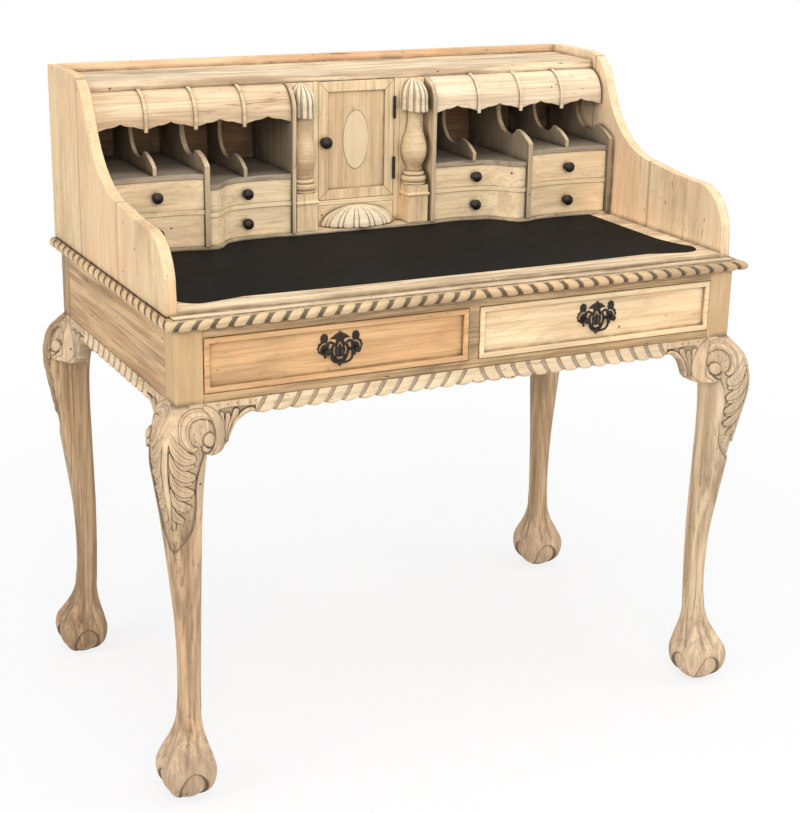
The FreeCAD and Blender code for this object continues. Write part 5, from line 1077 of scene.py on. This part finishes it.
# %% Carved brackets
BRACKET_EDGE = np.array([  # across, up
    (-101.5, 612.4), (-92.0, 611.0), (-83.0, 607.2), (-75.0, 602.0), (-68.5, 595.5), (-63.8, 587.0),
    (-60.4, 578.0), (-57.0, 569.5), (-51.5, 563.2), (-43.8, 560.0), (-36.0, 559.2), (-27.8, 560.2),
    (-20.0, 562.4), (-13.0, 566.5), (-8.0, 572.0), (-3.0, 583.0), (4.0, 596.0)])
BRACKET_NEAR, BRACKET_FAR = 4.0, -101.5
RAIL_DEPTH, BRACKET_THICK = 24.5, 21.0
BRACKET_LIP = 3.5
NO_CORNER = 999.0


def carved_bracket():
    """Bracket along the front rail of the right leg, as a loop of columns round its section."""
    spread = np.linspace(BRACKET_NEAR, BRACKET_FAR, 132)
    low = np.interp(spread, BRACKET_EDGE[:, 0], BRACKET_EDGE[:, 1])
    down = np.linspace(0.0, 1.0, 84)
    across = np.repeat(spread[:, None], len(down), 1)
    up = KNEE_TOP - (KNEE_TOP - low)[:, None] * down[None, :]
    drift, half, _ = section(up)
    away = ease(-across, 12.0, 60.0)
    blank = (drift + half) * (1 - away) + RAIL_DEPTH * away
    height, stain_and_shade = knee_carving(across, up, np.full(up.shape, NO_CORNER))
    height = height * ease(up, KNEE_TOP, KNEE_TOP - 2.0)
    rise = np.clip(up - low[:, None], 0, BRACKET_LIP)
    turned = BRACKET_LIP - np.sqrt(np.clip(BRACKET_LIP ** 2 - (BRACKET_LIP - rise) ** 2, 0, None))
    skin = 1.6 * ease(across, 0.0, BRACKET_NEAR) - 0.25
    depth = blank + height - turned - skin
    back = np.full((len(spread), 2), np.minimum(RAIL_DEPTH - BRACKET_THICK, depth.min() - 1))
    depth = np.hstack([depth, back])
    up = np.hstack([up, low[:, None], np.full((len(spread), 1), KNEE_TOP)])
    across = np.hstack([across, across[:, :2]])
    stain_and_shade = np.hstack([stain_and_shade, np.full((len(spread), 2), 0.3)])
    return across, depth, up, stain_and_shade


across, depth, up, stain_and_shade = carved_bracket()
front = np.stack([POST_X + across, -(POST_Y + depth), up], -1)
side = np.stack([POST_X + depth, -(POST_Y + across), up], -1)
front_bracket = grid_piece("bracket_front", *capped(front[:, ::-1], stain_and_shade[:, ::-1]), "leg", closed=True)
side_bracket = grid_piece("bracket_side", *capped(side, stain_and_shade), "leg", closed=True)
corner_pair = joined("bracket_pair", [front_bracket, side_bracket])
pairs = [corner_pair] + [mirrored_copy(corner_pair, "bracket_pair_copy", across)
                         for _, across, _ in PLACES[1:]]
brackets = joined("carved_knee_brackets", pairs)
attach(brackets, "carcass")
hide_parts("knee_brackets")
print("bracket points:", len(brackets.data.vertices))

# %% [markdown]
# The rope moulding
#
# A rope of egg-shaped lobes runs round the front and sides of the top, leaning one way left of the
# middle and the other way right of it. Between lobes lies a narrow strand with two fine lines,
# darkened as dirt and painted shade, and the lobes carry painted shade on their undersides. An
# array of modelled lobes would need trimming at every corner. Here the moulding is one swept grid,
# and a single number, the place along the twist, decides how deep each point lies.

# %% Carved rope
FRIEZE_X, FRIEZE_Y, TOP_BACK = 486.5, 282.7, 300.7
ROPE_LOW, ROPE_MIDDLE, ROPE_HIGH, ROPE_HALF = 744.5, 753.5, 762.5, 9.0
ROPE_FOOT, ROPE_ROUND, ROPE_BACK = 5.0, 13.0, -1.5
ROPE_PITCH = FRIEZE_X / 18
ROPE_LEAN = 0.55 * ROPE_HALF
ROPE_CUT, LOBE_HALF, LOBE_END = 4.4, 0.375, 0.97
# Darkening of the lobes' outlines and of the strand between them: dirt and painted shade.
TWIST_STAIN_AND_SHADE, SEAM_STAIN_AND_SHADE, RIDGE_SHARE = 0.95, 0.5, 0.32


def twist(place, pitch, lobe_half, depth, ends, soiled_and_shaded):
    """Depth of cut and darkening for dirt and painted shade at a place along the twist; ends rounds the lobes
    off, 0 none to 1 full.
    """
    phase = place / pitch
    phase = phase - np.round(phase)
    share = np.sqrt((phase / lobe_half) ** 2 + ends ** 2)
    strand = np.clip((np.abs(phase) - lobe_half) / (0.5 - lobe_half), 0, 1)
    seam = np.exp(-((0.5 - np.abs(phase)) * pitch / 0.6) ** 2)
    ridges = 0.5 - 0.5 * np.cos(strand * 2.0 * math.pi)
    cut = np.where(share < 1, bulge(share) * 0.92, 1.0 - 0.22 * ridges * (1 - ends ** 2)) * depth
    edge = np.exp(-((share - 1) * lobe_half * pitch / 0.9) ** 2)
    between_lobes = soiled_and_shaded * (1 - RIDGE_SHARE * ridges) + SEAM_STAIN_AND_SHADE * seam
    return cut, np.maximum(TWIST_STAIN_AND_SHADE * edge, np.where(share < 1, 0.0, between_lobes))


def rope_strip(places):
    """out, up and darkening for dirt and painted shade for a strip; places are distances along it at which
    the twist is symmetric.
    """
    angle = np.radians(np.linspace(92, -92, 24))
    outward, upward = np.cos(angle), np.sin(angle)
    along = places[:, None] + ROPE_LEAN * upward[None, :]
    rounded_ends = (LOBE_END * np.abs(upward) ** 7)[None, :]
    cut, stain_and_shade = twist(along, ROPE_PITCH, LOBE_HALF, ROPE_CUT, rounded_ends, 1.0)
    # Painted shade: the darkening is stronger on the rope's underside and weaker on its top.
    shade = (1 + 0.25 * ease(-upward, 0.1, 0.9) - 0.75 * ease(upward, 0.86, 1.0))[None, :]
    out = ROPE_FOOT + (ROPE_ROUND - cut) * np.maximum(outward, 0)[None, :]
    up = ROPE_MIDDLE + (ROPE_HALF - cut * 0.50) * upward[None, :]
    back = np.full((len(places), 1), ROPE_BACK)
    out = np.hstack([back, out, back])
    up = np.hstack([up[:, :1], up, up[:, -1:]])
    stain_and_shade = np.hstack([stain_and_shade[:, :1] * 0, stain_and_shade * shade, stain_and_shade[:, -1:]])
    return out, np.clip(up, ROPE_LOW, ROPE_HIGH), stain_and_shade


def rope_front():
    share = np.linspace(-1, 1, 1101)
    out, up, stain_and_shade = rope_strip(np.abs(share) * FRIEZE_X)
    points = np.stack([share[:, None] * (FRIEZE_X + out), -(FRIEZE_Y + out), up], -1)
    return grid_piece("rope_front", points[:, ::-1], stain_and_shade[:, ::-1], "rope")


def rope_side():
    """Right-hand side, from the front corner to the back edge of the top."""
    share = np.linspace(0, 1, 661)
    length = FRIEZE_Y + TOP_BACK
    out, up, stain_and_shade = rope_strip(-share * length)
    points = np.stack([FRIEZE_X + out, -FRIEZE_Y - out + share[:, None] * (length + out), up], -1)
    return grid_piece("rope_right", *capped(points[:, ::-1], stain_and_shade[:, ::-1], first=False), "rope")


front_rope, right_rope = rope_front(), rope_side()
rope = joined("carved_rope", [front_rope, right_rope, mirrored_copy(right_rope, "rope_left", (-1, 1))])
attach(rope, "carcass")
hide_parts("rope_moulding")
print("rope points:", len(rope.data.vertices))

# %% [markdown]
# The gadrooned apron
#
# Under the rails runs a flat strip of the same twisted family, taller and shallower: long lobes
# that curve down and away from the middle, with a waved lower edge. It reuses the twist function
# with another pitch and a curved lean.

# %% Carved apron
APRON_LOW = 606.7
APRON_X, APRON_Y = 363.5, 159.7
APRON_PITCH = APRON_X / 13
APRON_FACE, APRON_BACK = 3.0, 12.0
APRON_LEAN, APRON_CURVE = 15.0, 1.25
APRON_ROWS = 26
# The darkening between lobes: dirt and painted shade.
APRON_LOBE_HALF, APRON_CUT, APRON_SOILED_AND_SHADED = 0.40, 3.0, 0.28


def apron_strip(places):
    """Outward distance from the rail's face, height and darkening for dirt and painted shade for a strip
    under a rail.
    """
    down = np.concatenate([np.linspace(0.0, 1.0, APRON_ROWS), [1.0, 0.0]])
    height = KNEE_TOP - (KNEE_TOP - APRON_LOW) * down
    fall = ((KNEE_TOP - height) / (KNEE_TOP - APRON_LOW))[None, :]
    along = places[:, None] - APRON_LEAN * fall ** APRON_CURVE
    cut, stain_and_shade = twist(along, APRON_PITCH, APRON_LOBE_HALF, APRON_CUT, 0.0, APRON_SOILED_AND_SHADED)
    face = (np.arange(len(down)) < APRON_ROWS)[None, :]
    rounding = 5.0 * (1 - np.sqrt(np.clip(1 - ease(height, 613.0, APRON_LOW) ** 2 * 0.98, 0, 1)))
    out = APRON_FACE - cut * ease(fall, 0.0, 0.10) - rounding[None, :]
    out = np.where(face, out, -APRON_BACK)
    wave = cut * 0.9 * ease(fall, 0.55, 1.0) * (fall > 0)
    return out, np.repeat(height[None, :], len(places), 0) + wave, np.where(face, stain_and_shade, 0.25)


def apron_piece(name, points, stain_and_shade):
    return grid_piece(name, *capped(points[:, ::-1], stain_and_shade[:, ::-1]), "apron", closed=True)


def apron_front():
    run = np.linspace(-1, 1, 661)[:, None] * APRON_X
    out, up, stain_and_shade = apron_strip(np.abs(run[:, 0]))
    points = np.stack([np.broadcast_to(run, out.shape), -(FRIEZE_Y + out), up], -1)
    return apron_piece("apron_front", points, stain_and_shade)


def apron_side():
    run = np.linspace(0, 1, 301)[:, None] * 2 * APRON_Y
    out, up, stain_and_shade = apron_strip(run[:, 0])
    points = np.stack([FRIEZE_X + out, np.broadcast_to(run - APRON_Y, out.shape), up], -1)
    return apron_piece("apron_right", points, stain_and_shade)


front_apron, side_apron = apron_front(), apron_side()
apron = joined("carved_apron", [front_apron, side_apron, mirrored_copy(side_apron, "apron_left", (-1, 1))])
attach(apron, "carcass")
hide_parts("apron_gadroon")
print("apron points:", len(apron.data.vertices))

# %% [markdown]
# Fluted shells
#
# A broad shell fills the front of the small drawer under the cupboard, and a narrow fluted hood
# caps each pilaster. Both are domes whose flutes meet at the crown, wide and narrow in turn. A dome
# grid with angle and height as its coordinates makes each flute a band of one coordinate. The
# boards behind keep their own shape: the plain dome is left out of a copy of the board.

# %% Flutes, domes and turned posts
JAMB_FACE = 149.0
SAME_PLACE = 0.05
# Darkening of the lines between flutes, of a dome's back edge and of a post's hollows: dirt and painted
# shade.
FLUTE_STAIN_AND_SHADE, FLUTE_LINE = 0.95, 0.95
NARROW_DEPTH, NARROW_STEP = 0.55, 0.35
DOME_COLUMNS, DOME_ROWS, DOME_CROWDING = 301, 60, 0.85
DOME_INNER, DOME_LIFT, DOME_BACK_STAIN_AND_SHADE = 0.72, 1.5, 0.8
SCALLOP, SCALLOP_ROUND, SCALLOP_HIGH = 2.8, 0.9, 0.12
POST_ROWS_UP, POST_COLUMNS, POST_INSET = 150, 73, 0.3
POST_STAIN_AND_SHADE, POST_STAIN_AND_SHADE_MOST = 1.2, 0.75


def flutes(turn, wide, narrow, count, depth, radius):
    """Cut, darkening for dirt and painted shade, and crown share over an angle in degrees; count wide flutes
    with narrow ones between.
    """
    widths = [wide if number % 2 == 0 else narrow for number in range(2 * count - 1)]
    edges = np.cumsum([-sum(widths) / 2, *widths])
    slot = np.clip(np.searchsorted(edges, turn) - 1, 0, len(widths) - 1)
    start, end = edges[slot], edges[slot + 1]
    share = np.clip(np.abs((turn - start) / (end - start) * 2 - 1), 0, 1)
    small = slot % 2 == 1
    cut = depth * (bulge(share) * np.where(small, NARROW_DEPTH, 1.0) + small * NARROW_STEP)
    gap = (1 - share) * (end - start) / 2 * np.radians(1) * radius
    return cut, FLUTE_STAIN_AND_SHADE * np.exp(-(gap / FLUTE_LINE) ** 2), share


def boards_of(node, name, keep):
    """A copy of a board with only the faces for which keep(corners, normal) holds."""
    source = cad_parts[node]
    copy = put(name, source.data.copy())
    work = bmesh.new()
    work.from_mesh(copy.data)
    gone = [face for face in work.faces if not keep(np.array([c.co for c in face.verts]) / MM, face.normal)]
    bmesh.ops.delete(work, geom=gone, context="FACES")
    work.to_mesh(copy.data)
    work.free()
    if "custom_normal" in copy.data.attributes:
        copy.data.attributes.remove(copy.data.attributes["custom_normal"])
    copy.data.shade_flat()
    copy.material_slots[0].material = source.material_slots[0].material
    return copy


def behind_face(corners, normal):
    """Holds for what lies behind the front of the jambs and isn't the hidden back of a dome."""
    hidden = normal.y > 0.5 and corners[:, 1].max() < JAMB_FACE + SAME_PLACE
    return corners[:, 1].min() > JAMB_FACE - SAME_PLACE and not hidden


def dome(name, middle, low, half, reach, rise, girth, flute, depth):
    """Fluted half dome in front of the jambs; girth(share) is its width share at a share of its rise."""
    turn = np.degrees(np.linspace(-math.pi / 2, math.pi / 2, DOME_COLUMNS))
    share = (np.linspace(0.0, 1.0, DOME_ROWS) ** DOME_CROWDING)[:, None]
    cut, stain_and_shade, edge = flutes(turn, *flute, depth, (half + reach) / 2)
    size = girth(share)
    cut = cut[None, :] * ease(size, 0.0, 0.5)
    at_edges = 1 - np.sqrt(np.clip(1 - edge ** 2 * SCALLOP_ROUND, 0, 1))
    scallop = SCALLOP * at_edges[None, :] * (1 - ease(share, 0.0, SCALLOP_HIGH))
    x = middle + (half * size - cut) * np.sin(np.radians(turn))
    y = JAMB_FACE - (reach * size - cut) * np.cos(np.radians(turn))
    up = low + rise * share + scallop
    stain_and_shade = stain_and_shade[None, :] * ease(size, 0.12, 0.45)
    inner_x = middle + (x[:1] - middle) * DOME_INNER
    inner_y = JAMB_FACE + (y[:1] - JAMB_FACE) * DOME_INNER
    x, y, up = np.vstack([inner_x, x]), np.vstack([inner_y, y]), np.vstack([up[:1] + DOME_LIFT, up])
    stain_and_shade = np.vstack([np.full((1, len(turn)), DOME_BACK_STAIN_AND_SHADE), stain_and_shade])
    return grid_piece(name, np.stack([x, y, up], -1)[::-1], stain_and_shade[::-1], "shell")


def turning(name, middle, axis, profile):
    """A turned post; profile is (up, radius), and what lies behind the jambs' face is flattened."""
    up = np.linspace(profile[0][0], profile[-1][0], POST_ROWS_UP)
    radius = through(profile, up)
    turn = np.linspace(0, 2 * math.pi, POST_COLUMNS)
    x = middle + radius[:, None] * np.sin(turn)[None, :]
    y = np.minimum(axis - radius[:, None] * np.cos(turn)[None, :], JAMB_FACE + POST_INSET)
    # Dirt and painted shade in the hollows of the turning, where its outline curves inward.
    slope = np.gradient(np.gradient(radius, up), up)
    stain_and_shade = np.repeat(np.clip(slope * POST_STAIN_AND_SHADE, 0, POST_STAIN_AND_SHADE_MOST)[:, None], POST_COLUMNS, 1)
    return grid_piece(name, np.stack([x, y, np.repeat(up[:, None], POST_COLUMNS, 1)], -1), stain_and_shade, "carved")


print("flutes, domes and posts ready")

# %% Shell drawer
SHELL_FLUTES = (17.2, 8.6, 7)  # width of a wide flute and a narrow one in degrees, number of wide ones
SHELL_LOW, SHELL_HALF, SHELL_REACH, SHELL_RISE, SHELL_DEPTH = 775.5, 69.4, 39.0, 33.0, 2.6


def shell_girth(share):
    return np.sqrt(np.clip(1 - share ** 2, 0, 1))


plain = boards_of("shell_drawer", "shell_drawer_boards", behind_face)
shell = dome("shell_carving", 0.0, SHELL_LOW, SHELL_HALF, SHELL_REACH, SHELL_RISE, shell_girth, SHELL_FLUTES,
             SHELL_DEPTH)
shell_drawer = joined("carved_shell_drawer", [plain, shell])
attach(shell_drawer, "shell_drawer")
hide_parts("shell_drawer")
print("shell carved")

# %% Pilasters
HOOD_FLUTES = (20.6, 5.2, 7)
HOOD_LOW, HOOD_HALF, HOOD_REACH, HOOD_RISE, HOOD_DEPTH = 967.6, 22.4, 45.8, 53.2, 2.5
HOOD_SHOULDER = 0.42
PILASTER_X, POST_AXIS, CAP_HIGH = 105.02, 137.0, 839.5
BALUSTER = (  # up, radius
    (839.5, 20.5), (843.0, 21.5), (845.0, 20.0), (847.0, 21.6), (850.7, 22.3), (854.4, 21.0), (856.0, 18.0),
    (858.5, 18.8), (861.5, 17.2), (864.0, 13.2), (869.0, 12.4), (875.0, 14.8), (882.0, 18.6), (891.0, 21.7),
    (902.0, 22.3), (913.0, 20.8), (924.0, 17.4), (935.0, 14.2), (947.0, 12.4), (958.0, 12.1), (967.6, 12.6),
    (970.0, 12.6))


def hood_girth(share):
    """Full up to the shoulder, with a slight spread at its foot, and round above."""
    above = np.clip(share - HOOD_SHOULDER, 0, 1) / (1 - HOOD_SHOULDER)
    return np.sqrt(np.clip(1 - above ** 2, 0, 1)) * (0.97 + 0.03 * ease(share, 0.3, 0.0))


def below_baluster(corners, normal):
    return corners[:, 2].max() <= CAP_HIGH + 0.3 or behind_face(corners, normal)


for place, middle in (("right", PILASTER_X), ("left", -PILASTER_X)):
    boards = boards_of(f"document_slide_{place}", f"document_slide_boards_{place}", below_baluster)
    hood = dome(f"hood_{place}", middle, HOOD_LOW, HOOD_HALF, HOOD_REACH, HOOD_RISE, hood_girth, HOOD_FLUTES,
                HOOD_DEPTH)
    post = turning(f"baluster_{place}", middle, POST_AXIS, BALUSTER)
    slide = joined(f"carved_document_slide_{place}", [boards, hood, post])
    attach(slide, f"document_slide_{place}")
    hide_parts(f"document_slide_{place}")
print("pilasters carved: 2")

# %% [markdown]
# The pierced handle plates
#
# Each swinging handle hangs from a plate of cast iron, pierced like lace: a leafy crest, two ears
# with rings below them, and a lyre between. A plate cut with boolean tools needs a tool body for
# every hole. Here one function says how far any point is from metal. The grid's points near an edge
# slide onto it, which gives clean curves, and the same distance rounds the rim. Places are measured
# from the plate's middle, on its right half.

# %% Design of the plates
HANDLE_X, HANDLE_UP = 226.15, 688.5
PLATE_FRONT, PLATE_BACK = -280.3, -278.72
CREST = [
    (0, 29), (2.6, 25.2), (4.2, 25.6), (6.5, 23.6), (8.4, 23.9), (11.0, 21.3), (13.4, 20.2),
    (17.0, 16.4), (14.4, 17.4), (11.4, 16.6), (8.6, 16.9), (6.4, 14.6), (6.0, 11.0), (0, 11.0)]
LYRE = [
    (0, 13.0), (6.0, 13.0), (8.6, 10.0), (13.0, 7.2), (15.2, 2.0), (14.6, -5.0), (12.6, -12.0),
    (9.2, -18.0), (3.4, -22.0), (1.9, -24.0), (0, -26.0)]
LINKS = (([(11, 10), (16, 12.4), (21, 9.4)], 1.8), ([(13, 0.5), (17, -1.0), (20, -0.6)], 2.3),
         ([(26, 16), (28.0, 10)], 4.6), ([(25, -5), (24.2, -9.0)], 1.5))
DISCS = ((27.0, 4.4, 9.9, 10.4), (25.8, 18.9, 6.3, 7.4), (24.1, -9.6, 2.1, 2.1), (0.0, -24.2, 1.9, 1.8))
SLOTS = (([(23.2, 11.2), (28.6, 10.2), (32.6, 5.6), (33.2, 1.6)], 1.25), ([(16.2, 6.6), (17.0, 4.2)], 1.9),
         ([(0, 11.4), (2.0, 8.2), (3.9, 4.4)], 0.95), ([(8.6, 4.2), (9.8, -1.0), (8.6, -7.4)], 1.25),
         ([(3.3, 0.4), (4.6, -3.2), (3.2, -7.2)], 0.6), ([(0.0, -13.6), (3.4, -12.4)], 1.9),
         ([(18.6, 21.4), (19.6, 19.4)], 0.8))
PLATE_STEP, PLATE_SQUEEZE = 0.42, 0.98
PLATE_WIDE, PLATE_LOW, PLATE_HIGH = 90, -64, 72
EDGE_NEAR, EDGE_ON, EDGE_NUDGE = 0.55, 0.06, 0.05
RIM_ROUND, RIM_WIDTH = 0.75, 1.3
TOOTH_DEPTH, TEETH, TOOTHED_FROM = 0.065, 9, 7
POSTS_BEFORE = 0.01


def metal_gap(across, up):
    """Distance from the plate's metal, negative in the metal."""
    across = np.abs(across)
    shapes = [np.where(within, -gap, gap) for gap, within in
              (outlined(across, up, CREST), outlined(across, up, LYRE))]
    for x, z, wide, tall in DISCS:
        turn = np.arctan2(up - z, across - x)
        teeth = 1 + (TOOTH_DEPTH * np.cos(TEETH * turn) if tall > TOOTHED_FROM else 0.0)
        shapes.append((np.hypot((across - x) / wide, (up - z) / tall) - teeth) * min(wide, tall))
    for line, half in LINKS:
        shapes.append(near_line(across, up, smooth_curve(line))[0] - half)
    gap = np.minimum.reduce(shapes)
    for line, half in SLOTS:
        gap = np.maximum(gap, half - near_line(across, up, smooth_curve(line))[0])
    return gap


def onto_edges(across, up):
    """A grid whose points near an edge of the metal have slid onto it."""
    for _ in range(2):
        gap = metal_gap(across, up)
        slope_x, slope_z = [(metal_gap(across + x, up + z) - metal_gap(across - x, up - z)) / (2 * EDGE_NUDGE)
                            for x, z in ((EDGE_NUDGE, 0.0), (0.0, EDGE_NUDGE))]
        steep = np.maximum(slope_x ** 2 + slope_z ** 2, 0.2)
        near = np.abs(gap) < EDGE_NEAR * PLATE_STEP
        across = np.where(near, across - gap * slope_x / steep, across)
        up = np.where(near, up - gap * slope_z / steep, up)
    return across, up


def plate_shape():
    """Points and faces of a pierced plate round its middle: front, back and the walls of every hole."""
    across, up = onto_edges(*np.meshgrid(
        np.arange(-PLATE_WIDE, PLATE_WIDE + 1) * PLATE_STEP * PLATE_SQUEEZE,
        np.arange(PLATE_LOW, PLATE_HIGH) * PLATE_STEP, indexing="ij"))
    gap = metal_gap(across, up)
    metal = gap < EDGE_ON
    cell = metal[:-1, :-1] & metal[1:, :-1] & metal[:-1, 1:] & metal[1:, 1:]
    index = np.arange(across.size).reshape(across.shape)
    front = np.stack([index[:-1, :-1], index[1:, :-1], index[1:, 1:], index[:-1, 1:]], -1)[cell]
    back = front[:, ::-1] + across.size
    sides = {}
    for quad in front.tolist():
        for start, end in zip(quad, quad[1:] + quad[:1]):
            if sides.pop((end, start), None) is None:
                sides[(start, end)] = True
    walls = [(end, start, start + across.size, end + across.size) for start, end in sides]
    face = PLATE_FRONT + RIM_ROUND * (1 - ease(-gap, 0.0, RIM_WIDTH))
    points = np.concatenate([np.stack([across, depth, up], -1).reshape(-1, 3)
                             for depth in (face, np.full(across.shape, PLATE_BACK))])
    faces = front.tolist() + back.tolist() + walls
    used = np.unique(np.array(faces))
    renumber = np.full(len(points), -1)
    renumber[used] = np.arange(len(used))
    return points[used], renumber[np.array(faces)].tolist()


print("slots in each plate:", len(SLOTS) * 2)

# %% Handle plates
plate_points, plate_faces = plate_shape()
for place, middle in (("right", HANDLE_X), ("left", -HANDLE_X)):
    mesh = bpy.data.meshes.new(f"plate_{place}")
    mesh.from_pydata(((plate_points + (middle, 0.0, HANDLE_UP)) * MM).tolist(), [], plate_faces)
    mesh.materials.append(finishes["iron"])
    posts = boards_of(f"handle_plate_{place}", f"handle_posts_{place}",
                      lambda corners, normal: corners[:, 1].min() < PLATE_FRONT - POSTS_BEFORE)
    handle = joined(f"pierced_handle_plate_{place}", [put(f"plate_{place}", mesh), posts])
    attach(handle, f"frieze_drawer_{place}")
    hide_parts(f"handle_plate_{place}")
print("plate points:", len(plate_points))

# %% [markdown]
# Floor, backdrop and lamps
#
# A plain pale floor catches a soft shadow. Towards the camera it mixes with plain white, so the
# backdrop stays clean without more light on the desk. Four large area lamps and an even sky give
# the shadowless daylight of a workshop door.

# %% Floor and sky
FLOOR_HALF, FLOOR_DROP = 60.0, 0.0004
FLOOR_GREY, FLOOR_PALE = (0.80, 0.80, 0.80, 1), (0.84, 0.84, 0.84, 1)
WHITE = (1.0, 1.0, 1.0, 1)
SHADOW_SPAN = (0.5, 2.2, 0.80, 1.0)  # from and to distance, share of plain white at each
SKY_LIGHT = 0.48


def seen_directly(tree):
    """1 for a ray from the camera or one reflected or bent on its way to it."""
    path = tree.node("ShaderNodeLightPath").outputs
    first = tree.sum("MAXIMUM", path["Is Camera Ray"], path["Is Glossy Ray"])
    return tree.sum("MAXIMUM", first, path["Is Transmission Ray"])


def floor_material():
    material, tree, shader, place = new_material("floor_paper")
    cloud = tree.between(tree.noise(place, 1.5, 3.0), 0.3, 0.7)
    tree.feed(shader.inputs["Base Color"], tree.mix(cloud, FLOOR_GREY, FLOOR_PALE))
    shader.inputs["Roughness"].default_value = 0.9
    shader.inputs["Specular IOR Level"].default_value = 0.1
    white = tree.add("ShaderNodeEmission", {"Color": WHITE, "Strength": 1.0})
    spread = tree.vector("LENGTH", tree.vector("MULTIPLY", place, (1.0, 1.0, 0.0)), out=1)
    share = tree.times(seen_directly(tree), tree.between(spread, *SHADOW_SPAN))
    blend = tree.add("ShaderNodeMixShader", {0: share, 1: shader.outputs[0], 2: white})
    tree.feed(tree.tree.nodes["Material Output"].inputs[0], blend)
    return material


corners = [(-1, -1, 0), (1, -1, 0), (1, 1, 0), (-1, 1, 0)]
mesh = bpy.data.meshes.new("floor")
mesh.from_pydata([tuple(FLOOR_HALF * share for share in corner) for corner in corners], [], [(0, 1, 2, 3)])
mesh.materials.append(floor_material())
floor = put("floor", mesh)
floor.location.z = -FLOOR_DROP
sky = bpy.data.worlds.new("sky")
sky.use_nodes = True
bpy.context.scene.world = sky
tree = Tree(sky.node_tree)
backdrop = sky.node_tree.nodes["Background"]
tree.feed(backdrop.inputs["Color"], WHITE)
tree.feed(backdrop.inputs["Strength"], tree.between(seen_directly(tree), 0.0, 1.0, SKY_LIGHT, 1.0))
print("floor and sky made")

# %% Lamps
AIM = Vector((0, 0, 0.7))
LAMPS = (  # name, place, size in metres, watts
    ("lamp_front", (-1.2, -3.6, 2.35), 2.4, 72), ("lamp_left", (-3.4, -0.6, 2.2), 2.2, 50),
    ("lamp_right", (3.2, -2.0, 2.4), 2.4, 32), ("lamp_top", (0.2, -0.4, 4.0), 2.6, 52))
for name, place, size, watts in LAMPS:
    light = bpy.data.lights.new(name, "AREA")
    light.shape = "DISK"
    light.size = size
    light.energy = watts
    made = put(name, light)
    made.location = place
    made.rotation_euler = (AIM - Vector(place)).to_track_quat("-Z", "Y").to_euler()
bpy.context.scene.view_settings.view_transform = "Standard"
print("lamps:", len(bpy.data.lights))
